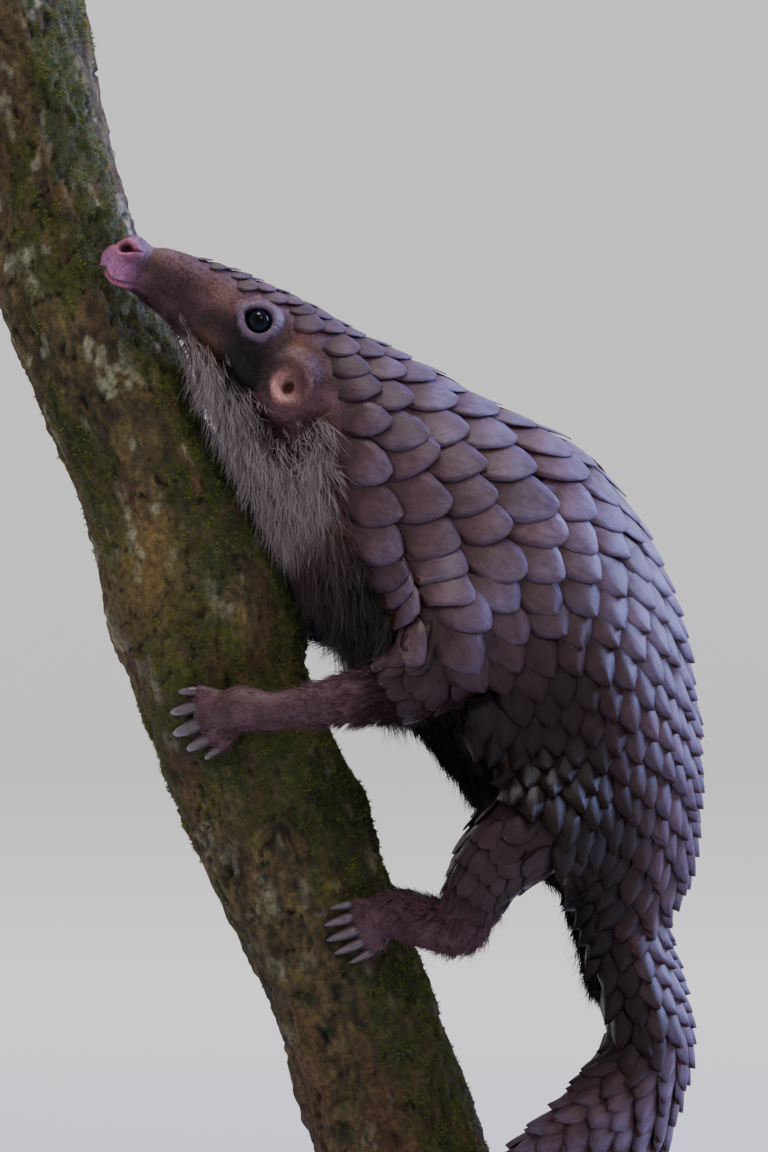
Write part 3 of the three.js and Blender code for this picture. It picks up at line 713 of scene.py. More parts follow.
def set_camera():
    """A long lens 3 m off, level with the animal, that takes in what the photograph does."""
    camera = bpy.data.objects.new("camera", bpy.data.cameras.new("camera"))
    bpy.context.scene.collection.objects.link(camera)
    camera.location = np.array([CAMERA["x"], CAMERA["y"], CAMERA["z"]]) * MM
    camera.rotation_euler = (math.pi / 2, 0, 0)
    seen = PHOTO["height"] * PHOTO["mm_per_pixel"]
    camera.data.sensor_fit = "VERTICAL"
    camera.data.sensor_height = CAMERA["sensor"]
    camera.data.sensor_width = CAMERA["sensor"]
    camera.data.lens = CAMERA["sensor"] * -CAMERA["y"] / seen
    camera.data.clip_end = 60
    bpy.context.scene.camera = camera


# Studio lights, in metres and watts: place, size, power and colour. All but the overhead one are
# discs turned to the middle of the model
DISC_LIGHTS = {
    "key": [(1.0, -1.7, 2.6), 1.1, 24, "#fff1e4"],
    "sky": [(2.2, 0.8, 1.5), 1.5, 235, "#a3b3ff"],
    "fill": [(-2.2, -1.6, 0.9), 2.0, 7, "#ffe6da"],
}
LIT_MIDDLE = (-0.02, 0, 0.33)
OVERHEAD = {"height": 9, "radius": 1.6, "power": 2600}
ROOM = {"colour": "#e9eaf0", "strength": 0.75}
# The floor in metres: how far it is flat, the radius of its sweep up into the wall, and the wall's top
FLOOR = {"flat": 13, "sweep": 4, "top": 12}


def disc_light(name, place, size, power, colour):
    data = bpy.data.lights.new(name, "AREA")
    data.shape = "DISK"
    data.size = size
    data.energy = power
    data.color = linear(colour)
    light = bpy.data.objects.new(name, data)
    bpy.context.scene.collection.objects.link(light)
    light.location = place
    light.rotation_euler = (Vector(LIT_MIDDLE) - Vector(place)).to_track_quat("-Z", "Y").to_euler()


def overhead_light():
    data = bpy.data.lights.new("overhead", "POINT")
    data.energy = OVERHEAD["power"]
    data.shadow_soft_size = OVERHEAD["radius"]
    light = bpy.data.objects.new("overhead", data)
    light.location = (0, 0, OVERHEAD["height"])
    bpy.context.scene.collection.objects.link(light)


def set_stage():
    for name, (place, size, power, colour) in DISC_LIGHTS.items():
        disc_light(name, place, size, power, colour)
    overhead_light()
    world = bpy.data.worlds.new("studio")
    bpy.context.scene.world = world
    world.use_nodes = True
    world.node_tree.nodes["Background"].inputs["Color"].default_value = rgba(ROOM["colour"])
    world.node_tree.nodes["Background"].inputs["Strength"].default_value = ROOM["strength"]
    # a wide floor that sweeps up into a wall all round, far behind the camera too
    flat, sweep = FLOOR["flat"], FLOOR["sweep"]
    profile = [(r, 0.0) for r in (0.4, 2, 6, 10, flat)]
    for a in np.linspace(0.2, 1.571, 10):
        profile.append((flat + sweep * math.sin(a), sweep - sweep * math.cos(a)))
    profile.append((flat + sweep, FLOOR["top"]))
    turns = np.linspace(0, 2 * math.pi, 96, endpoint=False)
    rings = [[(r * math.cos(t), r * math.sin(t), z) for t in turns] for r, z in profile]
    points, faces = tube(np.array(rings) / MM)
    floor = bpy.data.objects.new("floor", plain_mesh("floor", points, faces[:2]))
    floor.data.materials.append(pale_paper())
    bpy.context.scene.collection.objects.link(floor)


# Where things are on the animal

# A form's middle line is read at stops this far apart, for so many points at a time
LOCATE_STOP = 2.5
LOCATE_BLOCK = 20000
# The first stretch of a leg lies in the body, so a place there is the body's if they are this close
HIDDEN_STRETCH = 12
IN_DOUBT = 2.0


def locate(points):
    """For each point: which form it lies on, how far along it, and its angle round it."""
    points = np.asarray(points, float)
    best = np.full(len(points), 1e9)
    found = [np.zeros(len(points), int), np.zeros(len(points)), np.zeros(len(points))]
    for index, form in enumerate(forms):
        stops = np.linspace(0, form.length, int(form.length / LOCATE_STOP))
        centre, tangent, back, side, sizes = form.frame(stops)
        size = np.sqrt(sizes[:, 0] * sizes[:, 1:].mean(1))
        for start in range(0, len(points), LOCATE_BLOCK):
            block = points[start : start + LOCATE_BLOCK]
            away = np.sqrt(((block[:, None] - centre[None]) ** 2).sum(-1)) - size[None]
            nearest = away.argmin(1)
            reach = away[np.arange(len(block)), nearest]
            if index:
                reach = reach + IN_DOUBT * (stops[nearest] < HIDDEN_STRETCH)
            offset = block - centre[nearest]
            distance = stops[nearest] + dot(offset, tangent[nearest])
            sideways = dot(offset, side[nearest]) / sizes[nearest, 0]
            upward = dot(offset, back[nearest])
            upward = upward / np.where(upward > 0, sizes[nearest, 1], sizes[nearest, 2])
            angle = np.arctan2(sideways, upward)
            where = np.arange(start, start + len(block))
            closer = reach < best[where]
            for store, value in zip(found, (index, distance, angle)):
                store[where[closer]] = np.broadcast_to(value, closer.shape)[closer]
            best[where[closer]] = reach[closer]
    return found


def unwrap(form, distance, angle):
    """The skin laid flat: the body in the lower half of the sheet and a strip for each leg."""
    body_u = np.clip(distance / body.length, 0, 1) * 0.96 + 0.02
    body_v = (angle / (2 * math.pi) + 0.5) * 0.5 + 0.02
    leg_u = (form - 1) * 0.24 + 0.03 + np.clip(distance / 90, 0, 1) * 0.2
    leg_v = (angle / (2 * math.pi) + 0.5) * 0.4 + 0.56
    return np.stack([np.where(form == 0, body_u, leg_u), np.where(form == 0, body_v, leg_v)], -1)


def row_sizes(distance):
    table = np.array(SCALE_ROWS, float)
    return [np.interp(distance, table[:, 0], table[:, i]) for i in range(1, 7)]


# Skin colours, from the photograph's parts: nose pad, muzzle, cheek, lids, ear and so on
NOSE = linear("#9c6890")
NOSE_DARK = linear("#553049")
LIP = linear("#a25e72")
MUZZLE = linear("#5e404c")
BROWN = linear("#2a1716")
TAN = linear("#84584a")
CHEEK_DARK = linear("#070201")
LID = linear("#65596e")
EAR_PALE_AND_HIGHLIGHT = linear("#bf8c86")
EAR_HOLE_SHADE = linear("#54302a")
EAR_SKIN = linear("#4c2e2b")
THROAT = linear("#71605f")
CHEST = linear("#4d3634")
DARK_FUR_AND_BELLY_SHADE = linear("#120c0d")
PINK = linear("#87585c")
ARM = linear("#33201f")
HAND = linear("#573c44")
OPENING_SHADE = linear("#2e121a")
WHITE_HAIR = linear("#c6bcbc")
PUPIL = linear("#010206")
IRIS = linear("#070a1a")
EYE_EDGE = linear("#020308")
CLAW_ROOT = linear("#40343c")
CLAW_TIP = linear("#665b62")

# Patches on the face, seen from its side: x, z, half length, half height, tilt, colour, strength
FACE_PATCHES = [
    [-91, 478, 9, 4, 25, TAN, 0.35],
    [-88, 463, 17, 6, 35, BROWN, 0.8],
    [-95, 469, 9, 4, 20, BROWN, 0.6],
    [-84, 471, 9, 3.5, 30, BROWN, 0.7],
    [-72, 465, 10, 4, 35, TAN, 0.4],
    [-79, 452, 10, 7, 45, BROWN, 0.6],
    [-66, 443, 9, 10, 60, CHEEK_DARK, 1.6],
    [-64, 437, 8, 9, 60, CHEEK_DARK, 1.4],
    [-71, 436, 7, 9, 60, CHEEK_DARK, 0.8],
    [-68, 452, 7, 5, 30, CHEEK_DARK, 0.8],
    [-55, 442, 6, 6, 0, CHEEK_DARK, 0.7],
    [-56, 421, 9, 5, 50, BROWN, 0.8],
    [-76, 441, 7, 9, 40, BROWN, 0.6],
    [-80, 446, 5, 6, 40, TAN, 0.55],
    [-46, 449, 12, 9, 20, BROWN, 0.7],
    [-45, 448, 4, 8, 20, TAN, 0.5],
    [-45, 426, 9, 9, 0, EAR_SKIN, 0.4],
    [-37, 414, 8, 12, 0, EAR_SKIN, 0.35],
]


def side_patch(points, x, z, half_x, half_z, tilt):
    turn = math.radians(tilt)
    dx, dz = points[:, 0] - x, points[:, 2] - z
    along = (dx * math.cos(turn) - dz * math.sin(turn)) / half_x
    across = (dx * math.sin(turn) + dz * math.cos(turn)) / half_z
    return np.exp(-(along**2 + across**2))


def skin_colours(points, form, distance, angle, bare=1.0):
    """The markings: one colour for each point of the skin or, with bare at 0, the root of a hair."""
    down = np.degrees(np.abs(angle))
    wander = noise(points, 7, 3) * 0.6 + noise(points, 2.6, 5) * 0.4
    colour = mixed(MUZZLE, BROWN, np.clip(0.36 + 1.1 * wander, 0, 1))
    for x, z, half_x, half_z, tilt, patch, strength in FACE_PATCHES:
        share = side_patch(points, x, z, half_x, half_z, tilt) * strength
        colour = mixed(colour, patch, np.clip(share * (1 + 0.35 * wander), 0, 1))
    throat = ease(118, 150, down) * ease(30, 46, distance) * (1 - ease(96, 118, distance))
    colour = mixed(colour, THROAT, throat * 0.9)
    chest = ease(90, 122, distance + 9 * wander)
    # behind the chest the coat is painted near black: painted shade under the belly
    low = ease(118, 150, distance)
    border = hump(down - row_sizes(distance)[2] - 4, 7) * (1 - ease(146, 172, distance))
    ventral = mixed(mixed(CHEST, DARK_FUR_AND_BELLY_SHADE, low), PINK, border * 0.7 * bare)
    colour = mixed(colour, ventral, chest)
    nose = 1 - ease(6, 15, distance + 3.5 * wander)
    back = 0.5 * ease(5, 11, distance) + 0.4 * hump(down - 15, 34)
    pad = mixed(NOSE, NOSE_DARK, np.clip(0.1 + 0.9 * wander + back, 0, 0.85))
    colour = mixed(colour, pad, nose)
    lip = hump(down - 165, 22) * (1 - ease(7, 12, distance))
    colour = mixed(colour, LIP, lip)
    leg = mixed(ARM, DARK_FUR_AND_BELLY_SHADE, 0.35 + 0.35 * wander)
    hand = ease(60, 74, distance) * (form < 3) + ease(54, 64, distance) * (form >= 3)
    leg = mixed(leg, DARK_FUR_AND_BELLY_SHADE, (form == 2) * (1 - hand) * 0.8)
    leg = mixed(leg, HAND, hand)
    return np.where((form == 0)[:, None], colour, leg)


# Skin

def head_rings():
    """Distances along the head, closer together at the nose, eyes and ears."""
    stretches = [(0, 14, 0.45), (14, 44, 0.95), (44, 92, 0.5), (92, FACE_LAP["to"], 1.2)]
    return np.concatenate([np.arange(start, end, step) for start, end, step in stretches])


def head_angles():
    """Angles round the head, closer together down its sides, where the eyes and ears are."""
    stretches = [(0, 46, 2.6), (46, 118, 0.95), (118, 180, 2.6)]
    half = np.radians(np.concatenate([np.arange(start, end, step) for start, end, step in stretches]))
    return np.concatenate([half, [math.pi], -half[:0:-1]])


# The lids in section: distance from the eye's middle, and height over the face
LID_PROFILE = np.array([
    [0, -4.5],
    [3.7, -2.6],
    [4.15, -0.9],
    [4.5, 0.55],
    [5.3, 1.55],
    [6.3, 1.4],
    [7.6, 0.5],
    [8.8, -1.0],
    [10, -1.6],
])


def eyelids(points, colours):
    """Lids raised round each eye and drawn to it, with a corner towards the nose."""
    for side in (1, -1):
        place, out, tailward, up = on_head(EYE, side)
        rel = points - place
        a, b, high = dot(rel, tailward), dot(rel, up), dot(rel, out)
        reach = np.hypot(a, b)
        corner = hump(np.abs(np.arctan2(b, a)) - math.pi, 0.42)
        round_eye = reach / (1 + 0.24 * corner)
        near = (reach < 13) & (high > -12)
        wanted = np.interp(round_eye, *LID_PROFILE.T)
        # fine wrinkles run round the eye, with finer ones across them
        band = ease(4.6, 5.2, round_eye) * (1 - ease(7.6, 9, round_eye))
        wrinkles = np.sin(round_eye * 7.5 + noise(points, 2.5, 4) * 2)
        spokes = np.sin(np.arctan2(b, a) * 23 + noise(points, 3, 8) * 3)
        wanted = wanted + band * (0.16 * wrinkles + 0.06 * spokes)
        weight = np.where(near, 1 - ease(7.4, 11, reach), 0)
        points = points + out * ((wanted - high) * weight)[:, None]
        pale = np.where(near, 1 - ease(6.4, 8.2, round_eye + 0.6 * noise(points, 2, 6)), 0)
        lid = mixed(LID, MUZZLE, np.clip(0.2 + 0.35 * noise(points, 1.2, 7), 0, 1))
        colours = mixed(colours, lid, pale)
        edge = np.where(near, 1 - ease(4.5, 5.0, round_eye), 0)
        colours = mixed(colours, CHEEK_DARK, edge * 0.8)
    return points, colours


def ears(points, colours):
    """Each ear: a shallow cup with a pale pink rim, and a soft thick fold over and behind it; the rim's
    lower side and the fold's crest are painted paler, a painted highlight.
    """
    for side in (1, -1):
        place, out, tailward, up = on_head(EAR, side)
        rel = points - place
        a, b, high = dot(rel, tailward), dot(rel, up), dot(rel, out)
        reach = np.hypot(a, b)
        turn = np.arctan2(b, a)
        near = (reach < 17) & (high > -14)
        wander = noise(points, 3, 12)
        hole = np.hypot(a / 1.8, b / 2.3)
        lower = 0.5 + 0.5 * np.cos(turn + 2.0)
        # the fold leans over the ear from above and behind, along a bent line
        across, along = a * 0.77 + b * 0.64, b * 0.77 - a * 0.64
        fold = hump(across - 7.6 + 0.05 * along**2 - 0.5 * wander, 1.9) * hump(along - 1, 6.5)
        wanted = 0.4 + 0.7 * hump(reach, 9) + 0.3 * wander
        wanted = wanted - 1.3 * hump(reach, 4.0) + (0.1 + 1.5 * lower**2) * hump(reach - 4.9, 1.6)
        wanted = wanted - 2.8 * (1 - ease(0.45, 1.25, hole)) + 2.0 * fold - 0.8 * ease(10, 15, reach)
        wanted = wanted - 0.9 * hump(across - 4.6 + 0.05 * along**2, 1.0) * hump(along - 1, 5)
        weight = np.where(near, 1 - ease(10, 16, reach), 0)
        points = points + out * ((wanted - high) * weight)[:, None]
        colours = mixed(colours, EAR_SKIN, np.where(near, 1 - ease(2, 13, reach + 2 * wander), 0) * 0.6)
        # pale pink over the cup, its own colour, and paler on its lower rim and along the fold as painted
        # highlight
        pale = ease(1.8, 3.4, reach) * (1 - ease(4.4, 8, reach + 1.2 * wander)) * lower**1.5 * 1.1
        pale = pale * (0.85 + 0.5 * noise(points, 1.6, 31)) + 0.3 * hump(reach, 3) + 0.12 * fold
        colours = mixed(colours, EAR_PALE_AND_HIGHLIGHT, np.where(near, np.clip(pale, 0, 1), 0))
        # the opening is painted dark: painted shade in the ear's hollow
        colours = mixed(colours, EAR_HOLE_SHADE, np.where(near, 1 - ease(0.5, 1.35, hole), 0))
    return points, colours


def mouth_points(side):
    share = np.linspace(0, 1, 40)
    along = MOUTH["from"] - 3.5 + (MOUTH["to"] - MOUTH["from"] + 3.5) * share
    turn = MOUTH["angle"] + 14 * (1 - share) ** 3
    turn = turn + (MOUTH["end_angle"] - MOUTH["angle"]) * share
    return body.surface(np.maximum(along, 0), np.radians(turn) * side)


def muzzle(points, colours, distance, angle):
    """The nose pad with its comma nostrils, the line of the mouth and its lips; the nostrils' openings and
    the mouth's line are painted dark as painted shade.
    """
    down = np.degrees(np.abs(angle))
    normal = body.normal(distance, angle)
    rise = 0.7 * hump(distance - 4.5, 4) - 0.7 * hump(distance - 13, 2.4) * (1 - ease(60, 110, down))
    creases = hump(distance - 17, 9) * 0.12 * np.sin(distance * 3.4 + 2 * noise(points, 5, 2))
    points = points + normal * (rise + creases)[:, None]
    for side in (1, -1):
        place, out, tailward, up = on_head(NOSTRIL, side)
        rel = points - place
        a, b, high = dot(rel, tailward), dot(rel, up), dot(rel, out)
        near = (np.hypot(a, b) < 9) & (high > -6)
        # the opening, then the slit that curls back and down from it
        hole = np.hypot(a / 2.5, (b - 0.2) / 1.8)
        slit = np.hypot((a - 3.2) / 2.6, (b + 0.9 - 0.25 * a) / 0.75)
        sunk = 3.2 * (1 - ease(0.4, 1.2, hole)) + 0.9 * (1 - ease(0.3, 1.2, slit))
        wing = 0.8 * hump(hole - 1.7, 0.5)
        points = points + out * np.where(near, wing - sunk, 0)[:, None]
        colours = mixed(colours, LIP, np.where(near, 0.8 * hump(hole - 1.4, 0.6), 0))
        # the nostril's opening and slit are painted dark: painted shade in them
        dark = np.maximum(1 - ease(0.7, 1.35, hole), 0.75 * (1 - ease(0.5, 1.2, slit)))
        colours = mixed(colours, OPENING_SHADE, np.where(near, dark * 0.9, 0))
        lips = mouth_points(side)
        away = np.sqrt(((points[:, None] - lips[None]) ** 2).sum(-1)).min(1)
        fade = 1 - 0.75 * ease(6, 16, distance)
        groove = (0.5 * hump(away - 1.7, 0.8) - 1.6 * hump(away, 0.75)) * fade
        points = points + normal * groove[:, None]
        # the mouth's line is painted dark: painted shade in its groove
        colours = mixed(colours, OPENING_SHADE, 0.85 * hump(away, 0.8) * fade)
    return points, colours


def coat_depth(distance, angle):
    """How far the skin lies under the solids: thin under scales, deeper under long fur."""
    down = np.degrees(np.abs(angle))
    limit = row_sizes(distance)[2]
    furry = ease(-4, 12, down - limit) * ease(60, 84, distance) * (1 - ease(300, 330, distance))
    throat = ease(110, 140, down) * ease(30, 48, distance) * (1 - ease(110, 130, distance))
    return 0.6 + 2.2 * furry + 2.2 * throat


# The nose's front is a low dome of rings ahead of the first one
NOSE_DOME = {"height": 2.6, "rings": 9}


def head_skin():
    """The face's own skin from the nose to the nape, as points, faces and colours."""
    distance, angle = np.meshgrid(head_rings(), head_angles(), indexing="ij")
    points = body.point(distance, angle, -coat_depth(distance, angle))
    centre, tangent = body.frame(np.asarray(0.0))[:2]
    dome = []
    for turn in np.linspace(1.35, 0.12, NOSE_DOME["rings"]):
        ahead = tangent * NOSE_DOME["height"] * math.sin(turn)
        dome.append(centre + (points[0] - centre) * math.cos(turn) - ahead)
    points = np.concatenate([np.array(dome), points])
    distance = np.concatenate([np.zeros((len(dome), distance.shape[1])), distance])
    angle = np.concatenate([angle[: len(dome)], angle])
    rings = points.shape
    flat, s, turn = points.reshape(-1, 3), distance.ravel(), angle.ravel()
    colours = skin_colours(flat, np.zeros(len(flat), int), s, turn)
    flat, colours = muzzle(flat, colours, s, turn)
    flat, colours = eyelids(flat, colours)
    flat, colours = ears(flat, colours)
    grid, faces = tube(flat.reshape(rings))
    colours = np.vstack([colours, colours[:1], colours[-1:]])
    return grid, faces, colours


def form_shell(form, start, end, step, sides, depth):
    """A closed shell over a stretch of a form, so far under its surface."""
    distance, angle = np.meshgrid(
        np.arange(start, end + step / 2, step),
        np.linspace(-math.pi, math.pi, sides, endpoint=False),
        indexing="ij",
    )
    return tube(form.point(distance, angle, -depth(distance, angle)))


# A digit's flesh, then its claw, from root to tip: steps from the knuckle, spread from its neighbours
# and height over the trunk, and beside each its girth as a share of the digit's radius
FLESH_LINE = [(-2.4, 0.5, 4.6), (0, 0.8, 4.6), (1.2, 0.92, 4), (2, 0.97, 3.6)]
FLESH_GIRTH = np.array([1.15, 1.1, 0.95, 0.78])
CLAW_LINE = [(1.2, 0.93, 4), (2.2, 0.98, 4.9), (3.3, 1.02, 5), (4.4, 1.06, 3.3), (5.2, 1.08, 0.9)]
CLAW_GIRTH = np.array([0.6, 0.66, 0.52, 0.34, 0.08])


def finger_line(spec, digit, stops):
    """Places along a digit: steps from the knuckle, spread from its neighbours, and height."""
    offset, reach, _ = digit
    toward = (spec["tip"] - spec["knuckle"]) / 5
    points = []
    for steps, spread, out in stops:
        up = spec["up"] + offset * spread
        points.append(beside_trunk(up, spec["knuckle"] + toward * steps * reach, trunk_rim(up) + out))
    return np.array(points)


def tapered(points, radii, outward, sides=16, step=1.0, flat=1.0):
    stations = [[*p, r, r * flat, r * flat] for p, r in zip(points, radii)]
    form = Form(stations, [outward] * len(points))
    return form_shell(form, 0, form.length, step, sides, lambda d, a: np.zeros_like(d))


# A palm: how far up the leg it starts, height over the trunk at the heel and knuckles, and its radii,
# the first two as shares of the wrist's
PALM = {"start": 14, "heel": 7.6, "knuckle": 4.8, "wrist_shares": [1.0, 0.96], "radii": [8, 6]}


def foot_shells(name):
    """The palm and digits of one foot, up to where its claws begin."""
    spec = FEET[name]
    leg = legs[name.replace("foot", "leg")]
    digits = FORE_DIGITS if name.startswith("fore") else HIND_DIGITS
    outward = away_from_trunk(spec["up"], spec["knuckle"])
    stops = leg.frame(np.array([leg.length - PALM["start"], leg.length]))[0]
    heel = beside_trunk(spec["up"], spec["heel"], trunk_rim(spec["up"]) + PALM["heel"])
    knuckle = beside_trunk(spec["up"], spec["knuckle"], trunk_rim(spec["up"]) + PALM["knuckle"])
    wrist = leg.frame(np.array([leg.length]))[4][0].mean()
    radii = [*(wrist * share for share in PALM["wrist_shares"]), *PALM["radii"]]
    shells = [tapered([stops[0], stops[1], heel, knuckle], radii, outward)]
    for digit in digits:
        line = finger_line(spec, digit, FLESH_LINE)
        shells.append(tapered(line, FLESH_GIRTH * digit[2], outward))
    return shells


def relaxed(points, edges, weight, rounds, outward=None):
    """Points drawn towards the middle of their neighbours, more where the weight is high.

    With outward directions given, a point only ever moves out, so hollows fill and humps stay.
    """
    start, end = np.concatenate([edges, edges[:, ::-1]]).T
    count = np.bincount(start, minlength=len(points))
    for _ in range(rounds):
        middle = [np.bincount(start, points[end, i], len(points)) / count for i in range(3)]
        step = np.stack(middle, -1) - points
        if outward is not None:
            step = outward * np.maximum(dot(step, outward), 0)[:, None]
        points = points + weight[:, None] * 0.5 * step
    return points


def build_carrier():
    """The animal's smooth surface without the face's detail, and one with its hollows filled."""
    shells = [form_shell(body, 0, body.length, 2, 72, coat_depth)]
    for leg in legs.values():
        shells.append(form_shell(leg, 0, leg.length, 2, 40, lambda d, a: np.full_like(d, 0.8)))
    mesh = fused("carrier", shells, CARRIER_CELL, 12)
    points = mesh_points(mesh)
    root = np.full(len(points), 1e9)
    for leg in legs.values():
        for centre in leg.frame(np.linspace(0, LEG_ROOT, 6))[0]:
            root = np.minimum(root, np.linalg.norm(points - centre, axis=1))
    edges = np.array([list(edge.vertices) for edge in mesh.edges])
    points = relaxed(points, edges, 1 - ease(EASED["within"], EASED["to"], root), EASED["rounds"])
    mesh.vertices.foreach_set("co", (points * MM).ravel())
    mesh.update()
    # scales bridge the hollows round the legs' roots
    out = np.array([list(vertex.normal) for vertex in mesh.vertices])
    bridge = mesh.copy()
    near = 1 - ease(FILLED["within"], FILLED["to"], root)
    filled = relaxed(points, edges, near, FILLED["rounds"], out)
    filled = relaxed(filled, edges, near, FILLED["last_rounds"])
    bridge.vertices.foreach_set("co", (filled * MM).ravel())
    bridge.update()
    return mesh, bridge


def build_skin(carrier):
    """The whole skin in one piece: the smooth surface, the finer feet and the face."""
    points, faces = mesh_points(carrier), mesh_faces(carrier)
    form, distance, angle = locate(points)
    kept = ~((form == 0) & (distance < FACE_LAP["from"]))
    faces = [block[kept[block].all(1)] for block in faces]
    colours = skin_colours(points, form, distance, angle)
    parts, paints = [(points, faces)], [colours]
    for name in FEET:
        foot = fused(name, foot_shells(name), FOOT_CELL, 4)
        spots = mesh_points(foot)
        tint = mixed(HAND, ARM, np.clip(0.3 + 0.5 * noise(spots, 4, 9), 0, 1))
        parts.append((spots, mesh_faces(foot)))
        paints.append(tint)
    grid, head_faces, head_colours = head_skin()
    parts.append((grid, head_faces))
    paints.append(head_colours)
    mesh = plain_mesh("skin", *joined(parts))
    paint(mesh, np.vstack(paints))
    body_nodes = ["head", "neck", "torso", "tail_1", "tail_2", "tail_3", "tail_4", "ear_left", "ear_right"]
    return put("skin", mesh, bare_skin(), [*body_nodes, *legs, *FEET])


def build_eyes():
    """Two eyeballs, each sunk behind its lids, with a slight bulge to the front."""
    for name, side in (("left", 1), ("right", -1)):
        place, out, tailward, up = on_head(EYE, side)
        centre = place - out * EYE["sunk"]
        polar = np.linspace(0.04, math.pi - 0.04, 40)
        turn = np.linspace(-math.pi, math.pi, 56, endpoint=False)
        polar, turn = np.meshgrid(polar, turn, indexing="ij")
        bulge = EYE["radius"] * (1 + 0.035 * hump(polar, 0.6))
        ring = np.sin(polar)[..., None] * (tailward * np.cos(turn)[..., None] + up * np.sin(turn)[..., None])
        rings = centre + bulge[..., None] * (ring + out * np.cos(polar)[..., None])
        # the left eye's rings run the other way round, so that both eyes' faces point outwards
        points, faces = tube(rings[:, ::-1] if side > 0 else rings)
        off = np.arccos(np.clip(dot(unit(points - centre), out), -1, 1))
        iris = mixed(PUPIL, IRIS, ease(0.42, 0.52, off))
        colours = mixed(iris, EYE_EDGE, ease(0.8, 0.95, off))
        mesh = plain_mesh("eyeball_" + name, points, faces)
        paint(mesh, colours)
        put("eyeball_" + name, mesh, wet_eye(), ["eye_" + name])


def build_claws():
    """Five claws to a foot, hooked down to the trunk and deeper than they are wide."""
    horn = claw_horn()
    for name, spec in FEET.items():
        digits = FORE_DIGITS if name.startswith("fore") else HIND_DIGITS
        outward = away_from_trunk(spec["up"], spec["knuckle"])
        parts, paints = [], []
        for digit in digits:
            line = finger_line(spec, digit, CLAW_LINE)
            points, faces = tapered(line, CLAW_GIRTH * digit[2], outward, sides=12, step=0.8, flat=1.3)
            share = np.linspace(0, 1, len(points))
            parts.append((points, faces))
            paints.append(mixed(CLAW_ROOT, CLAW_TIP, share))
        mesh = plain_mesh("claws_" + name, *joined(parts))
        paint(mesh, np.vstack(paints))
        put("claws_" + name, mesh, horn)


# Scales

# Rings over the body's skin: their angles, how far apart they are, how far each is evened out with its
# neighbours, and the longest step that counts between two places on one, where a ray strays
RING_ANGLES = np.radians(np.arange(0, 181, 5))
RING_STEP = 4.0
RING_BLUR = 15
RING_STRAY = 9
# Places over a scale: across it from edge to edge, and along it from its root to its tip
ACROSS = np.linspace(-1, 1, 7)
ALONG = np.array([0, 0.36, 0.56, 0.74, 0.87, 0.955, 1.0])
# Its half widths at the places along it, with a broad round end and with a long pointed one
ROUNDED = np.array([0.64, 0.98, 1.0, 0.94, 0.78, 0.55, 0.26])
POINTED = np.array([0.62, 0.98, 0.93, 0.66, 0.38, 0.16, 0.03])
# A scale's underside has every second point of its face
SECOND = [0, 2, 4, 6]
FACE_POINTS = len(ALONG) * len(ACROSS)
UNDER_POINTS = len(SECOND) ** 2
# How far beyond its root the place is that a scale is aimed at
AHEAD = 3


class Carrier:
    """Finds places on the animal's smooth surface."""

    def __init__(self, mesh):
        self.tree = BVHTree.FromPolygons(
            [v.co.copy() for v in mesh.vertices], [tuple(p.vertices) for p in mesh.polygons]
        )

    def nearest(self, point):
        place, normal, _, _ = self.tree.find_nearest(Vector(point) * MM)
        return np.array(place) / MM, np.array(normal)

    def outward(self, centre, direction):
        place, normal, _, _ = self.tree.ray_cast(Vector(centre) * MM, Vector(direction))
        if place is None:
            return None
        return np.array(place) / MM, np.array(normal)


def ring_runs(carrier, along):
    """How far it is over the skin from the spine to each angle, down both sides of one ring."""
    centre = body.frame(np.asarray(along, float))[0]
    runs = []
    for side in (1, -1):
        run, last = [], None
        for down in RING_ANGLES:
            found = carrier.outward(centre, unit(body.surface(along, down * side) - centre))
            place = last if found is None else found[0]
            step = 0.0 if last is None else min(np.linalg.norm(place - last), RING_STRAY)
            run.append(step + (run[-1] if run else 0.0))
            last = place
        runs.append(run)
    return runs


def run_table(carrier):
    """Those runs for rings all along the body, evened out so that rows keep step."""
    rings = np.arange(SCALE_ROWS[0][0] - 2, body.length, RING_STEP)
    runs = np.array([ring_runs(carrier, along) for along in rings])
    near = hump(rings[:, None] - rings[None], RING_BLUR)
    near /= near.sum(1, keepdims=True)
    return rings, np.einsum("ij,jkl->ikl", near, runs)


def angle_at(table, along, reach):
    """The angle of a place on the skin, by how far it is from the spine."""
    rings, runs = table
    side = 0 if reach >= 0 else 1
    run = np.array([np.interp(along, rings, runs[:, side, i]) for i in range(len(RING_ANGLES))])
    if abs(reach) > run[-1]:
        return None
    return math.copysign(np.interp(abs(reach), run, RING_ANGLES), reach)


def body_rows(carrier):
    """Roots of the body's scales in rows, each row half a step over from the last."""
    made = []
    table = run_table(carrier)
    along = SCALE_ROWS[0][0]
    row = 0
    while along < body.length - 3:
        pitch, spacing, limit, point, length, crown = row_sizes(along)
        for k in range(-40, 41):
            reach = (k + (row % 2) / 2) * spacing
            turn = angle_at(table, along, reach)
            if turn is None or abs(math.degrees(turn)) > limit:
                continue
            later = angle_at(table, min(along + AHEAD, body.length), reach)
            loose = random.uniform(-1, 1, 6)
            made.append({
                "form": 0,
                "along": along + 0.13 * pitch * loose[0],
                "angle": turn + 0.026 * loose[1],
                "drift": 0 if later is None else later - turn,
                "width": spacing * (1.11 + 0.09 * loose[2]),
                "point": np.clip(point + 0.18 * loose[3], 0, 1),
                "length": length * (1 + 0.07 * loose[4]),
                "slope": (0.65 + 0.45 * ease(60, 100, along)) / pitch,
                "crown": crown * (1 + 0.2 * loose[5]),
            })
        along += pitch
        row += 1
    return made


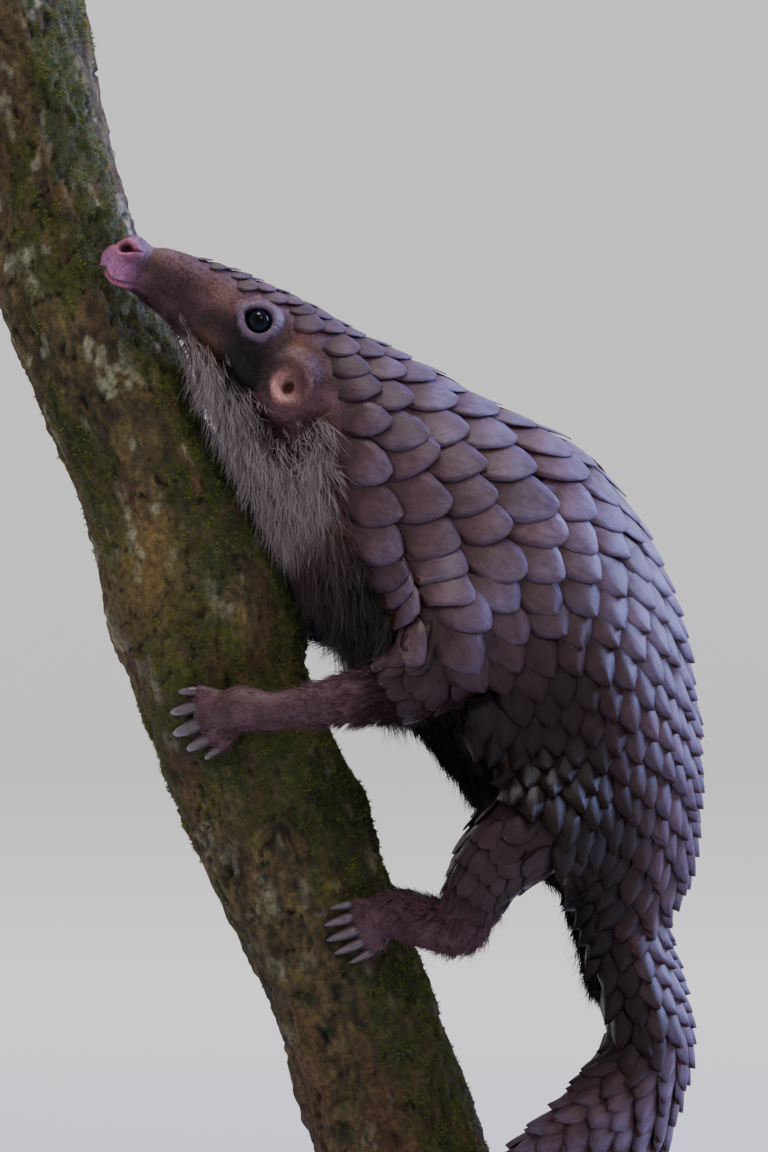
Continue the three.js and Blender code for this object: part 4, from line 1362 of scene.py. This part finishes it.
def root_on_body(carrier, spot):
    """Where a scale's root meets the skin, which way it faces there and which way is tailward."""
    found = []
    for step in (0, 1):
        along = spot["along"] + AHEAD * step
        angle = spot["angle"] + spot["drift"] * step
        centre = body.frame(np.asarray(along, float))[0]
        found.append(carrier.outward(centre, unit(body.surface(along, angle) - centre)))
    if found[0] is None or found[1] is None:
        return None
    (root, normal), (beyond, _) = found
    return root, normal, unit(beyond - root)


def scale_mesh(carrier, root, normal, ahead, spot):
    """One scale laid on the carrier: a thin arched shell whose free end stands off the next."""
    outline = ROUNDED * (1 - spot["point"]) + POINTED * spot["point"]
    half = spot["width"] / 2
    # tips on the shoulders lean towards the spine, so that lower edges run long and flat
    toward = 0.3 * math.sin(spot["angle"]) * hump(spot["along"] - 112, 48) if spot["form"] == 0 else 0
    skew = (toward + random.uniform(-0.12, 0.12)) * half
    wave = random.uniform(-0.2, 0.2, 7)
    chipped = random.uniform(0.93, 1.05, (2, len(ALONG)))
    arch = 1 - np.abs(ACROSS) ** (2 - 0.7 * spot["point"])
    thickness = 0.14 + 0.26 * (1 - ACROSS**2)
    top, under = [], []
    place, out, forward = root, normal, ahead
    for i, share in enumerate(ALONG):
        if i:
            step = spot["length"] * (share - ALONG[i - 1])
            place, facing = carrier.nearest(place + forward * step)
            out = unit(out * 0.45 + facing * 0.55)
        forward = unit(forward - out * dot(forward, out))
        sideways = np.cross(out, forward)
        rise = spot["slope"] * spot["length"] * share - 0.9 * (1 - share) ** 2
        level = rise + spot["crown"] * arch + 0.3 * wave * share
        across = ACROSS * half * outline[i] * np.where(ACROSS < 0, *chipped[:, i]) + skew * share**3
        on_skin = np.array([carrier.nearest(place + sideways * x)[0] for x in across])
        flat = place + sideways * across[:, None]
        bent = 0.3 + 0.35 * spot["point"]
        row = on_skin * bent + flat * (1 - bent)
        top.append(row + out * (level + thickness * (1 - 0.6 * share**4))[:, None])
        if i in SECOND:
            under.append((row + out * level[:, None])[SECOND])
    return np.array(top), np.array(under)


def scale_faces():
    """Faces of one scale: its face, seven by seven, then its underside and rim."""
    top = np.arange(FACE_POINTS).reshape(7, 7)
    under = FACE_POINTS + np.arange(UNDER_POINTS).reshape(4, 4)
    face, rest = [], []
    for i in range(6):
        for j in range(6):
            face.append([top[i, j], top[i, j + 1], top[i + 1, j + 1], top[i + 1, j]])
    for i in range(3):
        for j in range(3):
            rest.append([under[i, j], under[i + 1, j], under[i + 1, j + 1], under[i, j + 1]])
    for column, inner in ((0, 0), (6, 3)):
        for i in range(3):
            strip = [top[2 * i + n, column] for n in range(3)]
            ring = strip + [under[i + 1, inner], under[i, inner]]
            rest.append(ring if column == 0 else ring[::-1])
    for i, row in ((0, 0), (3, 6)):
        ring = [top[row, n] for n in range(7)] + [under[i, n] for n in (3, 2, 1, 0)]
        rest.append(ring if row == 0 else ring[::-1])
    return face, rest


SCALE_BASE = linear("#5b4046")
SCALE_MID = linear("#523e48")
SCALE_TIP = linear("#504763")
SCALE_RUMP = linear("#45261a")
SCALE_PALE_AND_SKY_SHEEN = linear("#67607e")
SCALE_AMBER = linear("#5a3218")
SCALE_DIRT = linear("#43302b")


def scale_tint(spot, facing):
    """Colours over one scale: brown at its root, taupe, and blue-grey towards its blunt tip, with painted
    sheen and painted shade laid over them.
    """
    age = random.uniform(-1, 1, 4)
    down = abs(spot["angle"])
    rump = ease(190, 260, spot["along"]) if spot["form"] == 0 else 0.6
    # low on the flank the scales are browner, and the shade below the body is painted on them too
    low = ease(160, 215, spot["along"]) * ease(0.6, 1.5, down) if spot["form"] == 0 else 0.6
    low = low * (1 - ease(330, 400, spot["along"]))
    middle = mixed(SCALE_MID, SCALE_RUMP, max(0.9 * low, 0.5 * rump))
    nape = 1 - ease(70, 105, spot["along"]) if spot["form"] == 0 else 0
    # painted sheen: a scale is painted paler and bluer the more it faces up and towards the sky light, over
    # a little paleness that varies at random
    middle = mixed(middle, SCALE_PALE_AND_SKY_SHEEN, np.clip(0.1 + 0.2 * age[0] + 0.8 * facing - 0.6 * low, 0, 1))
    middle = mixed(middle, SCALE_BASE, 0.5 * nape)
    share = np.repeat(ALONG, 7)
    across = np.tile(ACROSS, 7)
    grown = ease(0.35, 0.75, share + 0.08 * age[1])
    colour = mixed(np.broadcast_to(SCALE_BASE, (FACE_POINTS, 3)), middle, grown)
    smudge = np.hypot((share - 0.72) / 0.22, (across - 0.4 * age[3]) / 0.6)
    dirt = hump(smudge, 1) * ease(-0.2, 0.8, age[1])
    colour = mixed(colour, SCALE_DIRT, 0.5 * dirt)
    colour = mixed(colour, SCALE_TIP, 0.4 * (1 - low) * ease(0.7, 1, share + 0.2 * across**2))
    colour = mixed(colour, SCALE_AMBER, 0.4 * rump * ease(0.9, 1, share))
    under = np.broadcast_to(SCALE_AMBER * 0.3, (UNDER_POINTS, 3))
    # painted shade: each scale is darker where it comes out from under the one before
    colour = colour * (0.5 + 0.5 * ease(0.36, 0.68, share))[:, None]
    # painted light and shade: scales facing the lights are lighter, those low on the flank darker, and the
    # rump's scales turned from the lights darker again
    shade = (1.02 + 0.2 * age[2] + 0.45 * facing * (1 - low)) * (1 - 0.82 * low)
    shade = shade * (1 - 0.25 * rump * (1 - facing)) * (1 - 0.3 * nape)
    return np.vstack([colour * shade, under])


def lean_of(spot):
    """How far a scale turns from the body's line towards the belly, at the sides of the neck."""
    if spot["form"]:
        return 0
    down = abs(spot["angle"])
    return math.copysign(0.35 * ease(1.45, 2.0, down) * hump(spot["along"] - 108, 30), spot["angle"])


def body_scales(carrier):
    """The body's scales, without the roots that fall too far down a leg."""
    placed = []
    for spot in body_rows(carrier):
        found = root_on_body(carrier, spot)
        if found is not None:
            placed.append((spot, *found))
    form, reached, _ = locate(np.array([item[1] for item in placed]))
    # forms 1 and 2 are the forelegs, and 3 and 4 the hind legs
    end = np.where(form < 3, BODY_SCALES_END["fore"], BODY_SCALES_END["hind"])
    kept = (form == 0) | (reached < end)
    return [item for item, keep in zip(placed, kept) if keep]


def leg_scales(carrier, index, leg, last, taken):
    """Rows over the outer side of a leg, from where the body's scales end down to its wrist."""
    placed = []
    along, row = float(LEG_SPACING["at"][0]), 0
    while along < last:
        spacing = float(np.interp(along, LEG_SPACING["at"], LEG_SPACING["spacing"]))
        pitch = spacing * 0.7
        centre, tangent, _, _, sizes = leg.frame(np.asarray(along))
        count = int(math.pi * sizes[0] / spacing)
        for k in range(-count, count + 1):
            turn = (k + (row % 2) / 2) * spacing / sizes[0]
            if abs(turn) > LEG_SCALES_TURN:
                continue
            found = carrier.outward(centre, unit(leg.surface(along, turn) - centre))
            if found is None or np.linalg.norm(found[0] - centre) > LEG_SCALES_REACH:
                continue
            if taken.find(Vector(found[0]))[2] < 0.75 * spacing or locate(found[0][None])[0][0] != index:
                continue
            spot = {
                "form": index,
                "along": along,
                "angle": turn,
                "width": spacing * random.uniform(1.1, 1.24),
                "point": random.uniform(0, 0.2),
                "length": pitch * 2.3,
                "slope": 0.9 / pitch,
                "crown": 0.4,
            }
            flow = unit(tangent - found[1] * dot(tangent, found[1]))
            placed.append((spot, found[0], found[1], flow))
        along += pitch
        row += 1
    return placed


def scale_piece(name, items, carrier, material):
    """All the scales of one part of the animal as one mesh with its markings and UV maps."""
    face, rest = scale_faces()
    points, faces, colours, grain, baked = [], [], [], [], []
    across = np.concatenate([np.tile(ACROSS, 7), np.tile(ACROSS[SECOND], 4)])
    share = np.concatenate([np.repeat(ALONG, 7), np.repeat(ALONG[SECOND], 4)])
    for spot, root, normal, ahead in items:
        lean = random.uniform(-0.1, 0.1) + lean_of(spot)
        ahead = unit(ahead * math.cos(lean) - np.cross(normal, ahead) * math.sin(lean))
        top, under = scale_mesh(carrier, root, normal, ahead, spot)
        count = (FACE_POINTS + UNDER_POINTS) * len(points)
        points.append(np.vstack([top.reshape(-1, 3), under.reshape(-1, 3)]))
        faces += [[corner + count for corner in ring] for ring in face + rest]
        # how far a scale faces up and towards the sky light, which gives its painted sheen and painted shade
        facing = float(np.clip(normal[0] * 0.5 + normal[2] * 0.7, 0, 1))
        colours.append(scale_tint(spot, facing))
        offset = random.uniform(0, 50, 2)
        grain.append(np.stack([across * spot["width"] / 2, share * spot["length"]], -1) + offset)
        middle = unwrap(np.array(spot["form"]), spot["along"], spot["angle"])
        baked.append(middle + np.stack([share * 0.003, across * 0.0015], -1))
    mesh = bpy.data.meshes.new(name)
    mesh.from_pydata((np.vstack(points) * MM).tolist(), [], faces)
    # only the face is shaded smooth, so that the rim round it stays crisp
    smooth = np.tile([True] * len(face) + [False] * len(rest), len(items))
    mesh.polygons.foreach_set("use_smooth", smooth)
    paint(mesh, np.vstack(colours))
    add_uv(mesh, "OFBake", np.vstack(baked))
    add_uv(mesh, "Grain", np.vstack(grain))
    put(name, mesh, material)


def build_scales(carrier):
    """Four pieces of scales: the head's, the back's, the tail's and the legs'."""
    placed = body_scales(carrier)
    taken = KDTree(len(placed))
    for index, item in enumerate(placed):
        taken.insert(Vector(item[1]), index)
    taken.balance()
    on_legs = []
    for index, (name, leg) in enumerate(legs.items(), 1):
        on_legs += leg_scales(carrier, index, leg, LEG_SCALES_END[name[:4]], taken)
    horn = horn_scale()
    for name, start, end in (("head", 0, NAPE), ("back", NAPE, TAIL_FROM), ("tail", TAIL_FROM, body.length)):
        items = [item for item in placed if start <= item[0]["along"] < end]
        scale_piece("scales_" + name, items, carrier, horn)
    scale_piece("scales_legs", on_legs, carrier, horn)


# Fur

# A hair has three sides: the turns of its corners, in radians
HAIR_CORNERS = (0, 2.094, 4.189)


def hairs(roots, ways, bends, lengths, widths, rings):
    """Three-sided tapering hairs. Each leaves its root one way and bends another towards its tip."""
    count = len(roots)
    first = unit(np.cross(ways, bends) + 1e-6)
    second = np.cross(ways, first)
    points = []
    for ring in range(rings):
        share = ring / rings
        middle = roots + (ways * share + bends * share**2) * lengths[:, None]
        radius = (widths * 0.5 * (1 - 0.75 * share))[:, None]
        for turn in HAIR_CORNERS:
            points.append(middle + radius * (first * math.cos(turn) + second * math.sin(turn)))
    points.append(roots + (ways + bends) * lengths[:, None])
    points = np.stack(points, 1)
    each = points.shape[1]
    quads, tris = [], [[0, 2, 1]]
    for ring in range(rings - 1):
        for side in range(3):
            low, after = 3 * ring + side, 3 * ring + (side + 1) % 3
            quads.append([low, after, after + 3, low + 3])
    for side in range(3):
        tris.append([3 * (rings - 1) + side, 3 * (rings - 1) + (side + 1) % 3, each - 1])
    start = (np.arange(count) * each)[:, None, None]
    faces = [(np.array(tris) + start).reshape(-1, 3)]
    if quads:
        faces.append((np.array(quads) + start).reshape(-1, 4))
    heights = np.array([ring / rings for ring in range(rings) for _ in range(3)] + [1.0])
    return points, faces, heights


class Coat:
    """Places all over the skin, with the direction of the coat at each."""

    def __init__(self, skin):
        mesh = skin.data
        mesh.calc_loop_triangles()
        corners = np.array([list(t.vertices) for t in mesh.loop_triangles])
        self.corners = mesh_points(mesh)[corners]
        across = np.cross(self.corners[:, 1] - self.corners[:, 0], self.corners[:, 2] - self.corners[:, 0])
        self.area = np.linalg.norm(across, axis=1) / 2
        self.out = unit(across)
        self.form, self.distance, self.angle = locate(self.corners.mean(1))
        self.eyes = [on_head(EYE, side)[0] for side in (1, -1)]
        self.ears = [on_head(EAR, side)[0] for side in (1, -1)]

    def sow(self, share, spacing):
        """Tuft roots over the skin where the share, one value for each triangle, isn't zero."""
        weight = self.area * share
        total = weight.sum() / spacing**2
        picked = random.choice(len(weight), int(total), p=weight / weight.sum())
        a, b = random.random((2, len(picked)))
        fold = a + b > 1
        a, b = np.where(fold, 1 - a, a), np.where(fold, 1 - b, b)
        one, two, three = (self.corners[picked, i] for i in range(3))
        roots = one + (two - one) * a[:, None] + (three - one) * b[:, None]
        return roots, picked

    def flow(self, picked):
        """The way the coat lies at each triangle: towards the tail or down the leg."""
        ways = np.zeros((len(picked), 3))
        for index, form in enumerate(forms):
            mine = self.form[picked] == index
            ways[mine] = form.frame(self.distance[picked][mine])[1]
        out = self.out[picked]
        return unit(ways - out * dot(ways, out)[:, None]), out


def tufts(coat, name, share, material, *, spacing, strands, length, lift, width, rings, fall, pale=0.0):
    """A piece of fur: tufts of a few hairs whose tips draw together."""
    roots, picked = coat.sow(share, spacing)
    ways, out = coat.flow(picked)
    form, distance, angle = coat.form[picked], coat.distance[picked], coat.angle[picked]
    colour = skin_colours(roots, form, distance, angle, bare=0.0)
    swirl = np.stack([noise(roots, 9, seed) + 0.6 * noise(roots, 4, seed + 9) for seed in (21, 22, 23)], -1)
    rise = math.radians(lift) * (1 + 0.35 * random.uniform(-1, 1, len(roots)))
    tuft_way = unit(ways * np.cos(rise)[:, None] + out * np.sin(rise)[:, None] + 0.55 * swirl)
    tuft_long = length * random.uniform(0.7, 1.2, len(roots)) * np.sqrt(np.clip(share[picked], 0.15, 1))
    middle = unwrap(form, distance, angle)
    points, faces, colours, baked, count = [], [], [], [], 0
    for _ in range(strands):
        aside = random.normal(0, 0.28 * spacing, (len(roots), 3))
        aside = aside - out * dot(aside, out)[:, None]
        way = unit(tuft_way + random.normal(0, 0.16, (len(roots), 3)) - aside / length)
        bend = (ways - way) * 0.35 + np.array([0, 0, -fall]) + random.normal(0, 0.14, (len(roots), 3))
        long = tuft_long * random.uniform(0.75, 1.15, len(roots))
        thick = width * random.uniform(0.8, 1.2, len(roots))
        made, blocks, heights = hairs(roots + aside - out * 0.3, way, bend, long, thick, rings)
        points.append(made.reshape(-1, 3))
        faces += [block + count for block in blocks]
        count += made.shape[0] * made.shape[1]
        shade = 0.7 + 0.5 * heights[None, :, None] + 0.22 * random.uniform(-1, 1, (len(roots), 1, 1))
        tip = pale * heights[None, :, None] ** 2
        strand = colour[:, None] * shade * (1 - tip) + WHITE_HAIR * tip
        colours.append(strand.reshape(-1, 3))
        spread = np.stack([heights * 0.003, np.tile([0, 0.001, 0.002], len(heights))[: len(heights)]], -1)
        baked.append((middle[:, None] + spread[None]).reshape(-1, 2))
    mesh = plain_mesh(name, np.vstack(points), faces)
    paint(mesh, np.clip(np.vstack(colours), 0, 1))
    add_uv(mesh, "OFBake", np.vstack(baked))
    put(name, mesh, material)


def build_fur(skin):
    """The coat where the animal has no scales: short on the face and feet, long on the throat."""
    coat = Coat(skin)
    hair = hair_coat()
    on_body = (coat.form == 0).astype(float)
    distance, down = coat.distance, np.degrees(np.abs(coat.angle))
    limit = row_sizes(distance)[2]
    middles = coat.corners.mean(1)
    clear = np.full(len(middles), 1e9)
    for eye in coat.eyes:
        clear = np.minimum(clear, np.linalg.norm(middles - eye, axis=1) - 8.2)
    for ear in coat.ears:
        clear = np.minimum(clear, np.linalg.norm(middles - ear, axis=1) - 5.5)
    open_skin = ease(0, 1.5, clear) * ease(-5, 2, down - limit)
    face = on_body * open_skin * ease(9, 20, distance) * (1 - ease(92, 104, distance))
    tufts(coat, "fur_face", face, hair, spacing=1.0, strands=3, length=2.1, lift=18, width=0.2, rings=1,
          fall=0)
    before_chest = 1 - ease(112, 128, distance)
    throat = on_body * ease(108, 134, down) * ease(26, 56, distance) * before_chest
    throat = np.maximum(throat, on_body * ease(84, 98, distance) * open_skin * before_chest)
    tufts(coat, "fur_throat", throat, hair, spacing=1.6, strands=5, length=17, lift=66, width=0.36, rings=3,
          fall=0.1, pale=0.7)
    chest = on_body * open_skin * ease(106, 120, distance) * (1 - ease(186, 205, distance))
    tufts(coat, "fur_chest", chest, hair, spacing=1.9, strands=6, length=14, lift=42, width=0.28, rings=3,
          fall=0.2, pale=0.12)
    # long pale hairs stand loose over the dark coat of the chest
    loose = on_body * open_skin * ease(96, 112, distance) * (1 - ease(168, 192, distance))
    tufts(coat, "fur_wisps", loose, hair, spacing=5.5, strands=5, length=18, lift=50, width=0.2, rings=4,
          fall=0.3, pale=0.28)
    belly = on_body * open_skin * ease(186, 205, distance) * (1 - ease(318, 332, distance))
    tufts(coat, "fur_belly", belly, hair, spacing=2.2, strands=5, length=8, lift=30, width=0.36, rings=2,
          fall=0.1)
    outer = 1 - ease(1.7, 2.0, np.abs(coat.angle))
    for name, chosen, elbow, length in (
        ("fur_foreleg_left", coat.form == 1, 44, 6),
        ("fur_foreleg_right", coat.form == 2, 44, 13),
        ("fur_hindlegs", coat.form > 2, 50, 6),
    ):
        scaled = outer * (1 - ease(elbow, elbow + 6, coat.distance))
        share = chosen * (1 - scaled) * ease(2, 8, coat.distance)
        share = share * (1 - 0.7 * ease(70, 92, coat.distance))
        tufts(coat, name, share, hair, spacing=1.6, strands=4, length=length, lift=28, width=0.28, rings=2,
              fall=0.1)


# Trunk and stand

BARK_DARK = linear("#262410")
BARK_PALE = linear("#75633a")
BARK_RED = linear("#6a452c")
BARK_PLATE = linear("#80693a")
BARK_CRACK_SHADE = linear("#120f0a")
MOSS_GREEN = linear("#36490b")
LICHEN = linear("#a2a58e")
SAWN_WOOD = linear("#8a6f4c")
# Rings of bark are this far apart, and each has this many points
BARK_STEP = 1.25
BARK_SIDES = 150
# One old plate of bark, seen from the side: x, z, half width, half height and tilt
OLD_PLATE = [-99, 366, 12, 20, 20]
# The four blades of a sprig of moss: turn and lean in radians
BLADES = [(0.2, 0.5), (1.9, 0.7), (3.4, 0.45), (5.1, 0.8)]


def bark_height(points, flat):
    """How far the bark stands off the plain trunk: lumps, flaking plates and deep cracks."""
    lumps = 0.8 * noise(flat, 12, 1) + 0.6 * noise(flat, 4.5, 2) + 0.5 * noise(flat, 2, 3)
    flakes = ease(-0.06, 0.05, noise(flat, 10, 21) + 0.35 * noise(flat, 3, 22))
    chips = ease(-0.05, 0.05, noise(flat, 4, 23) + 0.3 * noise(flat, 1.6, 24) - 0.15)
    cracks = np.abs(noise(flat, 7, 4)) + 0.3 * np.abs(noise(flat, 2.5, 5))
    crack = 1 - ease(0.02, 0.15, cracks)
    height = lumps + 0.9 * flakes + 0.6 * chips - 1.5 * crack - 1.4
    # the old plate on the camera's side stands a little proud and is smoother than the rest
    plate = side_patch(points, *OLD_PLATE) * (points[..., 1] < 12)
    return height * (1 - 0.75 * plate) + 0.5 * plate, crack, flakes, plate


def build_trunk():
    """The perch: flaking, cracked bark, sawn level at its foot and square at its top."""
    distance, angle = np.meshgrid(
        np.arange(0, trunk.length, BARK_STEP),
        np.linspace(-math.pi, math.pi, BARK_SIDES, endpoint=False),
        indexing="ij",
    )
    rings = distance.shape
    distance, angle = distance.ravel(), angle.ravel()
    plain = trunk.surface(distance, angle)
    # the bark is drawn out along the trunk, so its lumps are longer than they are wide
    flat = np.stack([distance * 0.55, 28 * np.cos(angle), 28 * np.sin(angle)], -1)
    height, crack, flakes, plate = bark_height(plain, flat)
    points = plain + trunk.normal(distance, angle) * height[:, None]
    # rings below the sawn foot slide along the trunk to it
    direction = trunk.frame(distance)[1]
    short = np.maximum(TRUNK_FOOT - points[:, 2], 0) / direction[:, 2]
    points = points + direction * short[:, None]
    moss = ease(-0.05, 0.4, noise(flat, 26, 7) + 0.45 * noise(flat, 8, 8) + 0.45 * np.sin(angle + 2.2))
    moss = moss * ease(-0.5, 0.3, noise(flat, 3.2, 9) + 0.3) * (1 - plate)
    lichen = ease(0.4, 0.52, noise(flat, 6, 11) + 0.45 * noise(flat, 2.2, 12)) * (1 - moss)
    red = ease(0.05, 0.5, noise(flat, 11, 13) + 0.4 * noise(flat, 3, 14))
    tone = 0.45 + 0.4 * noise(flat, 4, 15) + 0.5 * noise(flat, 1.5, 16)
    colour = mixed(BARK_DARK, BARK_PALE, np.clip(tone, 0, 1))
    colour = mixed(colour, BARK_RED, red * 0.55)
    colour = mixed(colour, BARK_PLATE, np.clip(plate * 1.2, 0, 1))
    colour = mixed(colour, MOSS_GREEN, moss * (0.65 + 0.3 * noise(flat, 1.4, 17)))
    colour = mixed(colour, LICHEN, lichen * (0.3 + 0.4 * ease(250, 450, distance)))
    # the cracks are painted near black: painted shade in them
    colour = mixed(colour, BARK_CRACK_SHADE, 0.85 * crack)
    colour = colour * (0.75 + 0.3 * flakes)[:, None]
    grid, faces = tube(points.reshape(*rings, 3))
    mesh = plain_mesh("trunk_bark", grid, faces)
    paint(mesh, np.vstack([colour, SAWN_WOOD, SAWN_WOOD]))
    cover = mesh.attributes.new("Moss", "FLOAT", "POINT")
    cover.data.foreach_set("value", np.append(moss * (1 - crack), [0, 0]).astype(np.float32))
    build_moss(mesh.copy())
    put("trunk_bark", mesh, mossy_bark(), ["perch_trunk"])


def moss_tree(material):
    """Geometry nodes that grow moss: sprigs of four blades wherever the bark is green."""
    tree = bpy.data.node_groups.new("moss_sprigs", "GeometryNodeTree")
    tree.interface.new_socket("Bark", in_out="INPUT", socket_type="NodeSocketGeometry")
    for name in ("Sprigs per square metre", "Blade length", "Blade width"):
        tree.interface.new_socket(name, in_out="INPUT", socket_type="NodeSocketFloat")
    tree.interface.new_socket("Moss", in_out="OUTPUT", socket_type="NodeSocketGeometry")
    given = add_node(tree, "NodeGroupInput").outputs
    green = add_node(tree, "GeometryNodeInputNamedAttribute", {"Name": "Moss"}, data_type="FLOAT")
    density = add_node(tree, "ShaderNodeMath", {0: green.outputs["Attribute"],
                                                1: given["Sprigs per square metre"]}, operation="MULTIPLY")
    spots = add_node(tree, "GeometryNodeDistributePointsOnFaces",
                     {"Mesh": given["Bark"], "Density": density.outputs[0], "Seed": 4})
    blade = add_node(tree, "GeometryNodeMeshCone",
                     {"Vertices": 3, "Radius Bottom": given["Blade width"], "Depth": given["Blade length"]})
    sprig = add_node(tree, "GeometryNodeJoinGeometry")
    for turn, lean in BLADES:
        leaning = add_node(tree, "GeometryNodeTransform",
                           {"Geometry": blade.outputs["Mesh"], "Rotation": (lean, 0, turn)})
        tree.links.new(leaning.outputs["Geometry"], sprig.inputs["Geometry"])
    size = add_node(tree, "FunctionNodeRandomValue", {2: 0.6, 3: 1.35, "Seed": 9}, data_type="FLOAT")
    grown = add_node(tree, "GeometryNodeInstanceOnPoints",
                     {"Points": spots.outputs["Points"], "Instance": sprig.outputs["Geometry"],
                      "Rotation": spots.outputs["Rotation"], "Scale": size.outputs[1]})
    real = add_node(tree, "GeometryNodeRealizeInstances", {"Geometry": grown.outputs["Instances"]})
    coloured = add_node(tree, "GeometryNodeSetMaterial",
                        {"Geometry": real.outputs["Geometry"], "Material": material})
    add_node(tree, "NodeGroupOutput", {"Moss": coloured.outputs["Geometry"]})
    return tree


def build_moss(bark):
    """Sprigs of moss 1 mm high over the green parts of the bark."""
    material = moss_leaf()
    tree = moss_tree(material)
    holder = bpy.data.objects.new("moss", bark)
    bpy.context.scene.collection.objects.link(holder)
    growth = holder.modifiers.new("growth", "NODES")
    growth.node_group = tree
    wanted = {"Sprigs per square metre": 330000.0, "Blade length": 1.1 * MM, "Blade width": 0.17 * MM}
    for socket in tree.interface.items_tree:
        if socket.name in wanted:
            growth[socket.identifier] = wanted[socket.name]
    put("trunk_moss", evaluated(holder), material)


def build_board():
    """The base: a board with rounded corners and a softened edge."""
    board = bmesh.new()
    r = BASE["corner"] + BASE["bevel"]
    x, y = BASE["length"] / 2 - r, BASE["width"] / 2 - r
    outline = []
    for cx, cy, start in ((x, -y, -90), (x, y, 0), (-x, y, 90), (-x, -y, 180)):
        for turn in np.radians(np.linspace(start, start + 90, 13)):
            outline.append(Vector(((cx + r * math.cos(turn)) * MM, (cy + r * math.sin(turn)) * MM, 0)))
    bottom = board.faces.new([board.verts.new(p) for p in outline])
    raised = bmesh.ops.extrude_face_region(board, geom=[bottom])
    lifted = [v for v in raised["geom"] if isinstance(v, bmesh.types.BMVert)]
    bmesh.ops.translate(board, vec=(0, 0, BASE["thickness"] * MM), verts=lifted)
    bmesh.ops.recalc_face_normals(board, faces=board.faces)
    mesh = bpy.data.meshes.new("stand_board")
    board.to_mesh(mesh)
    board.free()
    piece = put("stand_board", mesh, oiled_walnut(), ["stand_base"])
    soften = piece.modifiers.new("soften", "BEVEL")
    soften.width = BASE["bevel"] * MM
    soften.segments = 4
    soften.limit_method = "ANGLE"


def build_rods():
    """Two rods under the trunk, each with a collar at its foot and a hair's gap at both ends."""
    steel = brushed_steel()
    gap = 0.3
    foot, top = BASE["thickness"] + gap, TRUNK_FOOT - gap
    radius, edge = ROD["radius"], COLLAR["edge"]
    collar, collar_top = COLLAR["radius"], foot + COLLAR["height"]
    profile = [
        (radius, foot),
        (collar - edge, foot),
        (collar, foot + edge),
        (collar, collar_top - edge),
        (collar - edge, collar_top),
        (radius + edge, collar_top + 0.2),
        (radius, collar_top + 0.8),
        (radius, top - edge),
        (radius - edge, top),
    ]
    for i, side in enumerate((-1, 1), 1):
        x = trunk.frame(np.asarray(float(ROD["under"])))[0][0] + side * ROD["spacing"] / 2
        turns = np.linspace(0, 2 * math.pi, 48, endpoint=False)
        rings = [[(x + r * math.cos(t), r * math.sin(t), z) for t in turns] for r, z in profile]
        points, faces = tube(np.array(rings))
        put(f"stand_rod_{i}_steel", plain_mesh(f"stand_rod_{i}_steel", points, faces), steel,
            [f"stand_rod_{i}"])


set_camera()
set_stage()
build_board()
build_rods()
build_trunk()
flesh, bridge = build_carrier()
skin = build_skin(flesh)
build_eyes()
build_claws()
build_scales(Carrier(bridge))
build_fur(skin)
